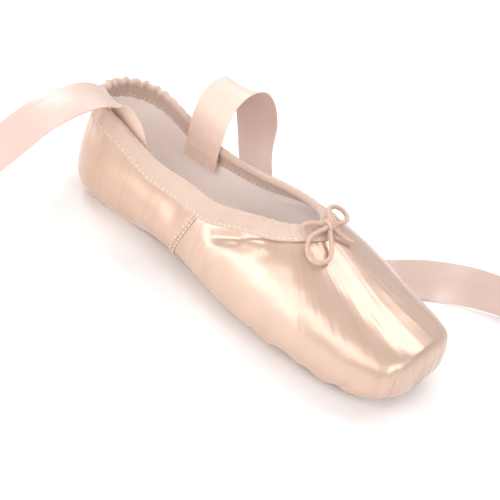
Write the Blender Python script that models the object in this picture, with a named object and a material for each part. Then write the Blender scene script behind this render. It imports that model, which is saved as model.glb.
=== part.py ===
"""A satin pointe shoe, standing empty on its sole.

The last is worked out from sections along the foot. The upper is drawn over it as a ring of
lines: each runs from under the sole, round the feather edge and up to the collar. At the toe
the lines fan out from the sole's tip, over the platform and back to the throat, as the pleats do.
Metres, +X to the toe, +Y to the wearer's left, +Z up.
"""

import math

import bpy
import numpy as np
from mathutils import Matrix

# Main sizes of the shoe
SHOE_LENGTH = 0.228
BALL_WIDTH = 0.082
WAIST_WIDTH = 0.059
HEEL_WIDTH = 0.054
PLATFORM_WIDTH = 0.055
PLATFORM_HEIGHT = 0.028
INSTEP_HEIGHT = 0.056
SIDE_HEIGHT = 0.046
HEEL_HEIGHT = 0.059
VAMP_LENGTH = 0.080
THROAT_WIDTH = 0.026
THROAT_ROUND = 0.014
THROAT_LENGTH = 0.044
TOE_CORNER = 0.012
PLATFORM_EDGE = 0.0045
HEEL_ROUND = 0.027

# Cloth and board
QUARTER_WALL = 0.0016
BOX_WALL = 0.0026
BINDING_WIDTH = 0.010
BINDING_THICKNESS = 0.0008
GAP = 0.0003

# Sole and insole
SOLE_THICKNESS = 0.0030
SOLE_EDGE_ROUND = 0.0008
PLEAT_LENGTH = 0.045
SOLE_HEEL_INSET = 0.008
SOLE_TIP_WIDTH = 0.034
SOLE_WIDTH = 0.052
SOLE_WAIST_WIDTH = 0.029
SOLE_HEEL_WIDTH = 0.035
SOLE_CORNER = 0.007
LASTING_LAP = 0.007
INSOLE_THICKNESS = 0.0016
ARCH_RISE = 0.0028
TOE_SPRING = 0.0024

# Pleats under the toe
PLEATS_A_SIDE = 7
PLEAT_DEPTH = 0.0009

# Drawstring and ribbons
CORD_DIAMETER = 0.0026
KNOT_RADII = (0.0034, 0.0040, 0.0028)
RIBBON_WIDTH = 0.022
RIBBON_THICKNESS = 0.0006

# Lines of the ring on one side, zone by zone, and points along each line
TOE_LINES = 28
QUARTER_LINES = 11
HEEL_LINES = 7
LINE_POINTS = 16
TURN_WEIGHT = 0.010
TOE_ZONE_END = 0.57
HEEL_ZONE_START = 0.12

# Sections of the last. at is the share of the length from the heel, crown the height of the
# last's top, widest the height where the section is widest, full how square the section is.
LAST = {
    "at": (0.00, 0.09, 0.22, 0.36, 0.50, 0.649, 0.75, 0.87, 1.00),
    "width": (
        HEEL_WIDTH,
        HEEL_WIDTH,
        0.98 * HEEL_WIDTH,
        WAIST_WIDTH,
        0.88 * BALL_WIDTH,
        0.985 * BALL_WIDTH,
        BALL_WIDTH,
        0.91 * BALL_WIDTH,
        PLATFORM_WIDTH,
    ),
    "crown": (
        1.42 * HEEL_HEIGHT,
        1.38 * HEEL_HEIGHT,
        1.22 * HEEL_HEIGHT,
        1.04 * INSTEP_HEIGHT,
        1.03 * INSTEP_HEIGHT,
        INSTEP_HEIGHT,
        0.88 * INSTEP_HEIGHT,
        0.72 * INSTEP_HEIGHT,
        SOLE_THICKNESS + TOE_SPRING + PLATFORM_HEIGHT,
    ),
    "widest": (
        0.36 * HEEL_HEIGHT,
        0.36 * HEEL_HEIGHT,
        0.34 * HEEL_HEIGHT,
        0.33 * INSTEP_HEIGHT,
        0.31 * INSTEP_HEIGHT,
        0.31 * INSTEP_HEIGHT,
        0.31 * INSTEP_HEIGHT,
        0.31 * INSTEP_HEIGHT,
        SOLE_THICKNESS + TOE_SPRING + 0.44 * PLATFORM_HEIGHT,
    ),
    "full": (2.1, 2.1, 2.1, 2.1, 2.1, 2.15, 2.2, 2.3, 2.5),
}

# Height of the seat under the foot, over the sole's own thickness
SEAT = {
    "at": (0.00, 0.20, 0.38, 0.56, 0.76, 1.00),
    "rise": (0.0, 0.0, ARCH_RISE, 0.0, 0.0, TOE_SPRING),
}

# Side view of the collar behind the throat
COLLAR = {
    "at": (0.00, 0.12, 0.29, 0.42, 0.52, 0.66),
    "height": (
        HEEL_HEIGHT,
        0.93 * HEEL_HEIGHT,
        SIDE_HEIGHT,
        1.01 * SIDE_HEIGHT,
        0.91 * INSTEP_HEIGHT,
        INSTEP_HEIGHT,
    ),
}

# Outline of the outsole. at is the share of the sole's own length from its heel end.
SOLE = {
    "at": (0.00, 0.14, 0.30, 0.48, 0.70, 0.83, 0.93, 1.00),
    "width": (
        0.94 * SOLE_HEEL_WIDTH,
        SOLE_HEEL_WIDTH,
        0.94 * SOLE_HEEL_WIDTH,
        SOLE_WAIST_WIDTH,
        0.88 * SOLE_WIDTH,
        SOLE_WIDTH,
        0.86 * SOLE_WIDTH,
        SOLE_TIP_WIDTH,
    ),
}

# Routes of the drawstring's cords, chosen by hand, in mm: x from the middle of the shoe, y, and
# height over the last
DRAWSTRING = {
    "loop_right": (
        (40.2, -4.4, 4.4), (39.4, -9.4, 3.9), (39.2, -14.6, 3.6), (41.8, -19.4, 3.0),
        (46.6, -21.4, 2.6), (51.0, -18.8, 2.5), (52.0, -13.6, 2.4), (49.0, -8.6, 2.6),
        (43.6, -4.2, 4.0),
    ),
    "loop_left": (
        (37.0, 3.4, 4.3), (33.9, 6.4, 4.8), (31.4, 10.6, 5.4), (31.8, 15.0, 6.0),
        (35.4, 17.4, 6.2), (39.4, 15.8, 5.6), (41.4, 11.4, 4.8), (40.7, 4.7, 4.3),
    ),
    "end_right": (
        (36.8, -3.5, 3.8), (34.6, -6.0, 3.7), (32.8, -8.8, 3.5), (31.8, -12.0, 3.3),
    ),
    "end_left": (
        (43.4, 1.4, 3.7), (46.0, 2.8, 3.1), (48.8, 4.8, 2.5), (51.2, 7.6, 2.2),
    ),
}
KNOT_PLACE = (0.0394, 0.0, 0.0594)

# Ribbon routes, chosen by hand: points on the middle line, and the way that its width lies there
RIBBON_RIGHT = {
    "place": (
        (-0.0700, -0.0220, 0.0240), (-0.0712, -0.0208, 0.0340), (-0.0745, -0.0193, 0.0440),
        (-0.0820, -0.0182, 0.0550), (-0.0895, -0.0214, 0.0636), (-0.0945, -0.0330, 0.0668),
        (-0.0985, -0.0490, 0.0640), (-0.1015, -0.0660, 0.0560), (-0.1045, -0.0830, 0.0440),
        (-0.1080, -0.0990, 0.0310), (-0.1130, -0.1140, 0.0190), (-0.1220, -0.1280, 0.0130),
        (-0.1350, -0.1390, 0.0118), (-0.1520, -0.1450, 0.0115), (-0.1710, -0.1450, 0.0113),
        (-0.1880, -0.1380, 0.0108), (-0.2020, -0.1250, 0.0096), (-0.2110, -0.1070, 0.0078),
        (-0.2130, -0.0870, 0.0056), (-0.2080, -0.0680, 0.0034), (-0.1970, -0.0510, 0.0018),
        (-0.1820, -0.0390, 0.0010),
    ),
    "width": (
        (1.0, 0.0, 0.12), (1.0, 0.02, 0.14), (1.0, 0.04, 0.22), (0.97, -0.10, 0.20),
        (0.97, -0.22, 0.02), (0.97, -0.22, -0.06), (0.97, -0.20, -0.10), (0.96, -0.16, -0.16),
        (0.94, -0.14, -0.22), (0.90, -0.14, -0.36), (0.78, -0.12, -0.60), (0.50, -0.10, -0.86),
        (0.22, -0.10, -0.97), (0.04, -0.14, -0.99), (-0.08, -0.22, -0.97), (-0.24, -0.30, -0.92),
        (-0.46, -0.34, -0.82), (-0.70, -0.30, -0.64), (-0.88, -0.12, -0.46), (-0.96, 0.14, -0.26),
        (-0.88, 0.44, -0.12), (-0.74, 0.66, -0.03),
    ),
}
RIBBON_LEFT = {
    "place": (
        (-0.0560, 0.0218, 0.0240), (-0.0560, 0.0206, 0.0330), (-0.0559, 0.0191, 0.0420),
        (-0.0558, 0.0184, 0.0510), (-0.0565, 0.0204, 0.0620), (-0.0568, 0.0262, 0.0715),
        (-0.0556, 0.0345, 0.0765), (-0.0532, 0.0430, 0.0738), (-0.0500, 0.0488, 0.0645),
        (-0.0468, 0.0520, 0.0520), (-0.0440, 0.0538, 0.0382), (-0.0400, 0.0548, 0.0250),
        (-0.0325, 0.0552, 0.0132), (-0.0200, 0.0554, 0.0054), (-0.0040, 0.0556, 0.0018),
        (0.0150, 0.0568, 0.0012), (0.0340, 0.0625, 0.0020), (0.0520, 0.0730, 0.0044),
        (0.0700, 0.0870, 0.0076), (0.0910, 0.1010, 0.0102), (0.1160, 0.1110, 0.0112),
        (0.1400, 0.1120, 0.0104), (0.1620, 0.1040, 0.0086), (0.1780, 0.0880, 0.0066),
        (0.1850, 0.0680, 0.0042), (0.1840, 0.0480, 0.0022), (0.1760, 0.0300, 0.0012),
    ),
    "width": (
        (1.0, 0.0, 0.0), (1.0, 0.0, 0.0), (1.0, 0.0, 0.0), (1.0, 0.02, 0.0),
        (0.99, 0.02, -0.02), (0.99, -0.02, -0.02), (0.99, -0.06, 0.04), (0.97, 0.10, 0.16),
        (0.88, 0.42, 0.20), (0.66, 0.74, 0.16), (0.36, 0.92, 0.14), (0.14, 0.98, 0.10),
        (0.0, 1.0, 0.04), (-0.04, 1.0, 0.0), (-0.08, 1.0, 0.0), (-0.20, 0.98, 0.02),
        (-0.40, 0.90, 0.14), (-0.46, 0.78, 0.40), (-0.34, 0.58, 0.72), (-0.16, 0.30, 0.93),
        (0.0, 0.06, 1.0), (-0.08, -0.28, 0.95), (-0.34, -0.48, 0.80), (-0.66, -0.42, 0.60),
        (-0.88, -0.22, 0.40), (-0.97, 0.10, 0.18), (-0.92, 0.38, 0.06),
    ),
}


def smooth(table, column):
    """A curve through a table's column that never swings past its rows, as a function of at."""
    at = np.array(table["at"], float)
    value = np.array(table[column], float)
    step = np.diff(at)
    rise = np.diff(value) / step
    slope = np.zeros(len(at))
    slope[0] = rise[0]
    slope[-1] = rise[-1]
    same_way = rise[:-1] * rise[1:] > 0
    before = np.where(same_way, rise[:-1], 1.0)
    after = np.where(same_way, rise[1:], 1.0)
    weight_before = 2 * step[1:] + step[:-1]
    weight_after = step[1:] + 2 * step[:-1]
    mean = (weight_before + weight_after) / (weight_before / before + weight_after / after)
    slope[1:-1] = np.where(same_way, mean, 0.0)

    def curve(share):
        share = np.clip(np.asarray(share, float), at[0], at[-1])
        i = np.clip(np.searchsorted(at, share, side="right") - 1, 0, len(step) - 1)
        t = (share - at[i]) / step[i]
        low = value[i] * (1 + 2 * t) * (1 - t) ** 2 + slope[i] * step[i] * t * (1 - t) ** 2
        return low + value[i + 1] * t * t * (3 - 2 * t) + slope[i + 1] * step[i] * t * t * (t - 1)

    return curve


last_width = smooth(LAST, "width")
last_crown = smooth(LAST, "crown")
last_widest = smooth(LAST, "widest")
last_full = smooth(LAST, "full")
seat_rise = smooth(SEAT, "rise")
collar_line = smooth(COLLAR, "height")
sole_width = smooth(SOLE, "width")


def rounded(depth, radius, power):
    """1 away from an end, closing to 0 at it like a rounded corner. depth is the distance to it."""
    in_corner = np.clip(1 - np.asarray(depth, float) / radius, 0, 1)
    return (1 - in_corner**power) ** (1 / power)


def half_width(x):
    ends = rounded(SHOE_LENGTH - x, TOE_CORNER, 2.6) * rounded(x, HEEL_ROUND, 2.0)
    return last_width(x / SHOE_LENGTH) / 2 * ends


def widest(x):
    return last_widest(x / SHOE_LENGTH)


def crown(x):
    ends = rounded(SHOE_LENGTH - x, PLATFORM_EDGE, 2.4) * rounded(x, HEEL_ROUND, 2.2)
    return widest(x) + (last_crown(x / SHOE_LENGTH) - widest(x)) * ends


def seat(x):
    """Height of the upper's underside along the middle."""
    return SOLE_THICKNESS + GAP + seat_rise(x / SHOE_LENGTH)


def top_height(x, y):
    """Height of the last's upper half over a point of its plan."""
    full = last_full(x / SHOE_LENGTH)
    across = np.clip(np.abs(y) / np.maximum(half_width(x), 1e-9), 0, 1)
    return widest(x) + (crown(x) - widest(x)) * (1 - across**full) ** (1 / full)


SOLE_START = SOLE_HEEL_INSET
SOLE_END = SHOE_LENGTH - PLEAT_LENGTH
THROAT_X = SHOE_LENGTH - VAMP_LENGTH


def sole_half_width(x, inset=0.0):
    """Half the outsole's width at x, or that of a smaller outline inset from it all round."""
    start = SOLE_START + inset
    end = SOLE_END - inset
    share = (x - SOLE_START) / (SOLE_END - SOLE_START)
    ends = rounded(end - x, SOLE_CORNER, 2.4) * rounded(x - start, 1.9 * SOLE_CORNER, 2.0)
    return (sole_width(share) / 2 - inset) * ends


def opening_half_width(x):
    """Half the width of the collar's opening at x."""
    full = last_full(x / SHOE_LENGTH)
    behind = np.clip((THROAT_X - x) / THROAT_ROUND, 0, 1)
    throat = THROAT_WIDTH / BALL_WIDTH
    wider = throat + 0.42 * np.clip((THROAT_X - x) / THROAT_LENGTH, 0, 1) ** 1.2
    by_plan = (1 - (wider * np.sqrt(1 - (1 - behind) ** 2)) ** full) ** (1 / full)
    by_height = (collar_line(x / SHOE_LENGTH) - widest(x)) / np.maximum(crown(x) - widest(x), 1e-6)
    turn = np.clip((THROAT_X - x - 0.5 * THROAT_ROUND) / THROAT_LENGTH, 0, 1)
    turn = turn * turn * (3 - 2 * turn)
    share = np.clip(by_plan * (1 - turn) + by_height * turn, 0, 1)
    return half_width(x) * (1 - share**full) ** (1 / full)


def half_outline(half, start, end):
    """A dense half outline in plan, from the toe end at y = 0 round to the heel end at y = 0."""
    angle = np.linspace(0, math.pi, 1601)
    x = (start + end) / 2 + (end - start) / 2 * np.cos(angle)
    y = half(x)
    y[0] = 0.0
    y[-1] = 0.0
    return np.stack([x, y], axis=1)


def heel_collar_x():
    """Where the collar crosses the middle of the heel's back."""
    x = np.linspace(0, HEEL_ROUND, 4001)
    reached = crown(x) >= collar_line(x / SHOE_LENGTH)
    return float(x[np.argmax(reached)])


def spaced(line, count):
    """count + 1 points evenly along a line, its two ends among them."""
    length = np.concatenate([[0], np.cumsum(np.linalg.norm(np.diff(line, axis=0), axis=1))])
    want = np.linspace(0, length[-1], count + 1)
    return np.stack([np.interp(want, length, line[:, k]) for k in range(line.shape[1])], axis=1)


def by_zone(outline):
    """The ring's points on a half outline: so many in the toe, the quarter and the heel zone."""
    toe_x = TOE_ZONE_END * SHOE_LENGTH
    heel_x = HEEL_ZONE_START * SHOE_LENGTH
    x = outline[:, 0]
    cut = [0, int(np.argmax(x <= toe_x)), int(np.argmax(x <= heel_x)), len(x) - 1]
    counts = (TOE_LINES, QUARTER_LINES, HEEL_LINES)
    parts = [spaced(outline[a : b + 1], n)[:-1] for a, b, n in zip(cut, cut[1:], counts)]
    return np.concatenate([*parts, outline[-1:]])


def ring_plan():
    """Plan points of the half ring: opening edge, sole edge, widest line and collar."""
    feather = half_outline(half_width, 0.0, SHOE_LENGTH)
    sole = half_outline(sole_half_width, SOLE_START, SOLE_END)
    inner = half_outline(
        lambda x: sole_half_width(x, LASTING_LAP), SOLE_START + LASTING_LAP, SOLE_END - LASTING_LAP
    )
    collar = half_outline(opening_half_width, heel_collar_x(), THROAT_X)
    return [by_zone(line) for line in (inner, sole, feather, collar)]


def ring_line(inner, sole, feather, collar):
    """One line of the ring, finely: under the sole, round the feather edge and up to the collar."""
    lap = np.linspace(0, 1, 9)[:-1, None]
    under = inner + (sole - inner) * lap
    under = np.column_stack([under, seat(under[:, 0])])
    angle = np.linspace(0, math.pi / 2, 61)[:-1, None]
    low_power = 2.1 + 1.6 * np.clip((feather[0] / SHOE_LENGTH - 0.8) / 0.15, 0, 1)
    out = np.sin(angle) ** (2 / low_power)
    round_under = sole + (feather - sole) * out
    rise = (1 - np.cos(angle[:, 0]) ** (2 / low_power)) * (widest(feather[0]) - seat(round_under[:, 0]))
    round_under = np.column_stack([round_under, seat(round_under[:, 0]) + rise])
    angle = np.linspace(0, math.pi / 2, 161)[:, None]
    over = feather + (collar - feather) * (1 - np.cos(angle))
    over = np.column_stack([over, top_height(over[:, 0], over[:, 1])])
    return np.concatenate([under, round_under, over])


def paced(line, count):
    """count + 1 points along a line: closer where it turns, the last two under the binding."""
    back = line[::-1]
    depth = np.concatenate([[0], np.cumsum(np.linalg.norm(np.diff(back, axis=0), axis=1))])
    under_binding = np.array([BINDING_WIDTH, 0.0])
    last = np.stack([np.interp(under_binding, depth, back[:, k]) for k in range(3)], axis=1)
    line = np.concatenate([back[depth > BINDING_WIDTH][::-1], last[:1]])
    step = np.diff(line, axis=0)
    length = np.linalg.norm(step, axis=1)
    way = step / np.maximum(length, 1e-12)[:, None]
    turn = np.arccos(np.clip((way[1:] * way[:-1]).sum(1), -1, 1))
    cost = length + TURN_WEIGHT * np.concatenate([[0], turn])
    cost = np.concatenate([[0], np.cumsum(cost)])
    want = np.linspace(0, cost[-1], count)
    rest = np.stack([np.interp(want, cost, line[:, k]) for k in range(3)], axis=1)
    return np.concatenate([rest, last[1:]])


def mirrored(half):
    """The whole ring from its left half, toe and heel lines shared."""
    other = half[1:-1][::-1] * np.array([1.0, -1.0, 1.0])
    return np.concatenate([half, other])


def normals(grid):
    """Outward directions on a grid of ring lines."""
    along = np.roll(grid, -1, axis=0) - np.roll(grid, 1, axis=0)
    up = np.gradient(grid, axis=1)
    out = np.cross(along, up)
    out /= np.maximum(np.linalg.norm(out, axis=2, keepdims=True), 1e-12)
    return out


def pleat_height(grid):
    """Ridges of the gathered satin between the sole's tip and the platform."""
    lines = len(grid)
    index = np.minimum(np.arange(lines), lines - np.arange(lines))
    phase = index / TOE_LINES * PLEATS_A_SIDE * 2 * math.pi
    in_fan = np.clip((TOE_LINES * 0.95 - index) / (0.2 * TOE_LINES), 0, 1)
    x = grid[:, :, 0]
    z = grid[:, :, 2]
    gone = np.clip((SHOE_LENGTH - 0.010 - x) / 0.016, 0, 1)
    low = np.clip((0.6 * widest(x) - z) / (0.4 * widest(x)), 0, 1)
    first = np.clip(np.arange(grid.shape[1]) - 1.0, 0, 1)[None, :]
    return PLEAT_DEPTH * (np.cos(phase) * in_fan)[:, None] * gone * low * first


def wall_thickness(grid):
    """The stiffened box is thicker than the quarters."""
    x = grid[:, :, 0] / SHOE_LENGTH
    box = np.clip((x - 0.62) / 0.14, 0, 1)
    box = box * box * (3 - 2 * box)
    return QUARTER_WALL + (BOX_WALL - QUARTER_WALL) * box


def placed(points):
    """The row frame has its origin under the middle of the shoe."""
    return np.asarray(points) - np.array([SHOE_LENGTH / 2, 0.0, 0.0])


def material(name, colour, roughness, sheen=0.0):
    made = bpy.data.materials.new(name)
    made.use_nodes = True
    shader = made.node_tree.nodes["Principled BSDF"]
    shader.inputs["Base Color"].default_value = (*colour, 1.0)
    shader.inputs["Roughness"].default_value = roughness
    shader.inputs["Metallic"].default_value = 0.0
    shader.inputs["Sheen Weight"].default_value = sheen
    return made


def solid(name, points, faces, finish, sharp_angle=40):
    """A named object in the scene from points and faces."""
    mesh = bpy.data.meshes.new(name)
    mesh.from_pydata([tuple(p) for p in points], [], [tuple(f) for f in faces])
    mesh.validate()
    mesh.shade_smooth()
    mesh.set_sharp_from_angle(angle=math.radians(sharp_angle))
    made = bpy.data.objects.new(name, mesh)
    made.data.materials.append(finish)
    bpy.context.scene.collection.objects.link(made)
    return made


def ring_solid(name, section_grid, levels, finish):
    """A closed ring: section_grid[i, j] is point j of the closed section at line i.

    levels gives each point's height up the wall, so that nested pieces split their faces alike.
    """
    lines, count = section_grid.shape[:2]
    faces = []
    for i in range(lines):
        left_side = i < lines // 2
        for j in range(count):
            k = (j + 1) % count
            a = i * count + j
            b = i * count + k
            c = ((i + 1) % lines) * count + k
            d = ((i + 1) % lines) * count + j
            if (levels[k] > levels[j]) == left_side:
                faces.append((c, b, a))
                faces.append((d, c, a))
            else:
                faces.append((d, b, a))
                faces.append((d, c, b))
    return solid(name, placed(section_grid.reshape(-1, 3)), faces, finish)


def upper(grid, out, finish):
    """The hollow satin upper, open at the collar and over the sole."""
    outside = grid + out * pleat_height(grid)[:, :, None]
    inside = grid - out * wall_thickness(grid)[:, :, None]
    levels = [*range(grid.shape[1]), *reversed(range(grid.shape[1]))]
    return ring_solid("upper", np.concatenate([outside, inside[:, ::-1]], axis=1), levels, finish)


def binding(grid, out, finish):
    """The casing folded over the collar's edge, outside and inside the upper's last rows."""
    up = grid[:, -1] - grid[:, -2]
    up -= out[:, -1] * (up * out[:, -1]).sum(1)[:, None]
    up /= np.linalg.norm(up, axis=1)[:, None]
    wall = wall_thickness(grid)
    near = GAP
    far = GAP + BINDING_THICKNESS
    section = (
        (-2, near, 0, 0.0), (-2, far, 0, 0.0), (-1, far, 0, 0.0), (-1, 0.3 * far, 0, 0.9 * far),
        (-1, -0.3 * far, 1, 0.9 * far), (-1, -far, 1, 0.0), (-2, -far, 1, 0.0),
        (-2, -near, 1, 0.0), (-1, -near, 1, 0.0), (-1, -near, 1, near), (-1, near, 0, near),
        (-1, near, 0, 0.0),
    )
    rows = []
    for row, offset, inside, above in section:
        shift = offset - inside * wall[:, row]
        rows.append(grid[:, row] + out[:, row] * shift[:, None] + up * above)
    levels = [row[0] for row in section]
    return ring_solid("binding", np.stack(rows, axis=1), levels, finish)


def plate(name, xs, across, low, high, finish):
    """A curved plate: low and high give the heights under and over the points (x, y)."""
    rows = []
    for x, half in zip(xs, across):
        y = np.linspace(-1, 1, 7) * half
        rows.append(np.stack([np.full(7, x), y], axis=1))
    plan = np.stack(rows)
    bottom = np.concatenate([plan, low(plan)[..., None]], axis=2)
    top = np.concatenate([plan, high(plan)[..., None]], axis=2)
    section = np.concatenate([bottom, top[:, ::-1]], axis=1)
    count = section.shape[1]
    faces = []
    for i in range(len(section) - 1):
        for j in range(count):
            k = (j + 1) % count
            faces.append((i * count + j, i * count + k, (i + 1) * count + k, (i + 1) * count + j))
    last = (len(section) - 1) * count
    side = count // 2
    for j in range(side - 1):
        faces.append((j, count - 1 - j, count - 2 - j, j + 1))
        faces.append((last + j, last + j + 1, last + count - 2 - j, last + count - 1 - j))
    return solid(name, placed(section.reshape(-1, 3)), faces, finish)


def end_dense(start, end, count):
    """Stations from start to end, closer together at both rounded ends."""
    angle = np.linspace(0, math.pi, count)
    return (start + end) / 2 - (end - start) / 2 * np.cos(angle)


def outsole(finish):
    """The leather sole: its outline, arch and a slightly drawn-in lower edge."""
    xs = end_dense(SOLE_START + 0.0002, SOLE_END - 0.0002, 34)

    def low(plan):
        x = plan[..., 0]
        half = sole_half_width(x)
        near_side = np.clip(1 - (half - np.abs(plan[..., 1])) / 0.002, 0, 1)
        near_end = np.clip(1 - np.minimum(x - SOLE_START, SOLE_END - x) / 0.002, 0, 1)
        lift = SOLE_EDGE_ROUND * np.maximum(near_side, near_end) ** 2
        return seat(x) - GAP - SOLE_THICKNESS + lift

    def high(plan):
        return seat(plan[..., 0]) - GAP

    return plate("outsole", xs, sole_half_width(xs), low, high, finish)


def insole(finish):
    """The sock board inside, dished to the upper's turned-in edge."""
    start = SOLE_START + 0.004
    end = SOLE_END - 0.001
    wider = 0.34

    def half(x):
        narrow = sole_half_width(np.clip(x, SOLE_START + 0.012, SOLE_END - 0.008))
        reach = narrow + wider * (half_width(x) - narrow)
        return reach * rounded(x - start, 0.013, 2.0) * rounded(end - x, 0.008, 2.2)

    def low(plan):
        x = plan[..., 0]
        sole = sole_half_width(np.clip(x, SOLE_START + 0.012, SOLE_END - 0.008))
        way = np.clip((np.abs(plan[..., 1]) - sole) / (half_width(x) - sole), 0, 1)
        rise = (1 - (1 - way**2.1) ** (1 / 2.1)) * (widest(x) - seat(x))
        wall = wall_thickness(plan)
        return seat(x) + wall + 1.5 * GAP + 1.3 * rise

    def high(plan):
        return low(plan) + INSOLE_THICKNESS

    xs = end_dense(start + 0.0002, end - 0.0002, 28)
    return plate("insole", xs, half(xs), low, high, finish)


def knot(finish):
    """The drawstring's knot on the throat."""
    bpy.ops.mesh.primitive_uv_sphere_add(segments=12, ring_count=8, radius=1.0)
    made = bpy.context.active_object
    made.name = "drawstring_knot"
    made.data.name = "drawstring_knot"
    made.data.transform(Matrix.Diagonal((*KNOT_RADII, 1.0)))
    made.location = KNOT_PLACE
    made.data.shade_smooth()
    made.data.materials.append(finish)
    return made


def smooth_route(points, steps):
    """A smooth curve through a hand-chosen route, steps points for each of its stretches."""
    p = np.asarray(points, float)
    ends = np.concatenate([[2 * p[0] - p[1]], p, [2 * p[-1] - p[-2]]])
    t = np.linspace(0, 1, steps + 1)[:-1, None]
    parts = []
    for a, b, c, d in zip(ends, ends[1:], ends[2:], ends[3:]):
        bend = (2 * a - 5 * b + 4 * c - d) * t**2 + (3 * b - a - 3 * c + d) * t**3
        parts.append(0.5 * (2 * b + (c - a) * t + bend))
    return np.concatenate([*parts, p[-1:]])


def on_last(route):
    """Points of a route in metres, set at its heights over the last."""
    x, y, over = np.array(route, float).T / 1000
    return np.column_stack([x, y, top_height(x + SHOE_LENGTH / 2, y) + over])


def cord(name, route, finish):
    """A round cord along a route on the last, as a bevelled curve with filled caps."""
    points = spaced(smooth_route(on_last(route), 12), 3 * len(route) // 2)
    curve = bpy.data.curves.new(name, "CURVE")
    curve.dimensions = "3D"
    curve.bevel_depth = CORD_DIAMETER / 2
    curve.bevel_resolution = 2
    curve.use_fill_caps = True
    spline = curve.splines.new("POLY")
    spline.points.add(len(points) - 1)
    for point, place in zip(spline.points, points):
        point.co = (*place, 1.0)
    made = bpy.data.objects.new(name, curve)
    curve.materials.append(finish)
    bpy.context.scene.collection.objects.link(made)
    return made


def ribbon(name, route, finish):
    """A flat satin strip along a route, turned as its width lies."""
    middle = smooth_route(route["place"], 3)
    across = smooth_route(route["width"], 3)
    along = np.gradient(middle, axis=0)
    along /= np.linalg.norm(along, axis=1, keepdims=True)
    across -= along * (across * along).sum(1)[:, None]
    across /= np.linalg.norm(across, axis=1, keepdims=True)
    out = np.cross(along, across)
    reach = np.abs(across[:, 2]) * RIBBON_WIDTH / 2 + np.abs(out[:, 2]) * RIBBON_THICKNESS / 2
    middle[:, 2] = np.maximum(middle[:, 2], GAP + reach)
    rows = []
    for side, face in ((-1, -1), (1, -1), (1, 1), (-1, 1)):
        rows.append(middle + across * side * RIBBON_WIDTH / 2 + out * face * RIBBON_THICKNESS / 2)
    section = np.stack(rows, axis=1)
    count = len(section)
    faces = [(3, 2, 1, 0), tuple(4 * (count - 1) + k for k in range(4))]
    for i in range(count - 1):
        for j in range(4):
            k = (j + 1) % 4
            a, b, c, d = 4 * i + j, 4 * i + k, 4 * i + 4 + k, 4 * i + 4 + j
            split_like_other_face = j >= 2
            if split_like_other_face:
                faces += [(a, b, d), (b, c, d)]
            else:
                faces += [(a, b, c), (a, c, d)]
    return solid(name, section.reshape(-1, 3), faces, finish)


def main():
    for old in list(bpy.data.objects):
        bpy.data.objects.remove(old)
    satin = material("satin", (0.90, 0.70, 0.60), 0.35, 0.3)
    cotton_tape = material("cotton_tape", (0.90, 0.73, 0.64), 0.7)
    leather = material("leather", (0.80, 0.60, 0.54), 0.6)
    sock = material("sock", (0.82, 0.76, 0.76), 0.8)
    cotton_cord = material("cotton_cord", (0.90, 0.72, 0.62), 0.7)
    ribbon_satin = material("ribbon_satin", (0.92, 0.77, 0.72), 0.4, 0.3)
    half_lines = [ring_line(*row) for row in zip(*ring_plan())]
    grid = mirrored(np.stack([paced(line, LINE_POINTS) for line in half_lines]))
    out = normals(grid)
    upper(grid, out, satin)
    binding(grid, out, cotton_tape)
    outsole(leather)
    insole(sock)
    knot(cotton_cord)
    for piece, route in DRAWSTRING.items():
        cord("drawstring_" + piece, route, cotton_cord)
    ribbon("ribbon_right", RIBBON_RIGHT, ribbon_satin)
    ribbon("ribbon_left", RIBBON_LEFT, ribbon_satin)


main()
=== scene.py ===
# %% [markdown]
# # A satin pointe shoe
# A pointe shoe is satin drawn over a stiff toe box and pleated under it on to a narrow leather
# sole. This lesson dresses a finished model of its main solids: each piece is made again with
# its seams, folds and cloth, in the same frame. That frame is in metres, with +X to the toe,
# +Y to the wearer's left and +Z up, and its origin on the floor under the middle of the shoe.

# %% Load the model
import math

import bpy
import numpy as np
from mathutils import Matrix, Vector


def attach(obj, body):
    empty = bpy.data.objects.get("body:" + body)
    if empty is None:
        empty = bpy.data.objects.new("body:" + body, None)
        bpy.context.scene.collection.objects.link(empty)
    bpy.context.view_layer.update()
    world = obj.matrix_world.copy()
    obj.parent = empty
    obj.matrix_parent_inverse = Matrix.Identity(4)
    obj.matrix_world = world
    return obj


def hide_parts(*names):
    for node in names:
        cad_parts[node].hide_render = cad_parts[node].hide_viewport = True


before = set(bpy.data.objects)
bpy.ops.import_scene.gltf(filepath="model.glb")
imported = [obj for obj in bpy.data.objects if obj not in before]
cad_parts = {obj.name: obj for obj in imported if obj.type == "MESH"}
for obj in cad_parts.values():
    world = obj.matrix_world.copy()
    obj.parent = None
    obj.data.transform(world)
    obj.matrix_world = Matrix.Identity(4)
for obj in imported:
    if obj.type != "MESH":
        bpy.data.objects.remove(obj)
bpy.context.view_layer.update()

print("nodes:", sorted(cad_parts))

# %% [markdown]
# ## The camera
# The picture is taken from above the shoe's right toe, and the camera leans a little, so the
# shoe runs down to the right. A camera's columns are its right, its up and the way back to
# it, so a lean turns the first two about the third. A long lens from two thirds of a metre
# keeps the toe from swelling.

# %% Camera
CAMERA_TURN = math.radians(29)
CAMERA_RISE = math.radians(33.5)
CAMERA_LEAN = math.radians(18)
CAMERA_DISTANCE = 0.677
CAMERA_LENS = 93.0
AIM_RIGHT = 0.006
AIM_UP = 0.014


def look():
    """The camera's right, up and backward directions."""
    right = Vector((math.cos(CAMERA_TURN), math.sin(CAMERA_TURN), 0.0))
    level = math.cos(CAMERA_RISE)
    back = Vector(
        (math.sin(CAMERA_TURN) * level, -math.cos(CAMERA_TURN) * level, math.sin(CAMERA_RISE))
    )
    up = back.cross(right)
    lean_right = right * math.cos(CAMERA_LEAN) + up * math.sin(CAMERA_LEAN)
    lean_up = up * math.cos(CAMERA_LEAN) - right * math.sin(CAMERA_LEAN)
    return lean_right, lean_up, back


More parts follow.
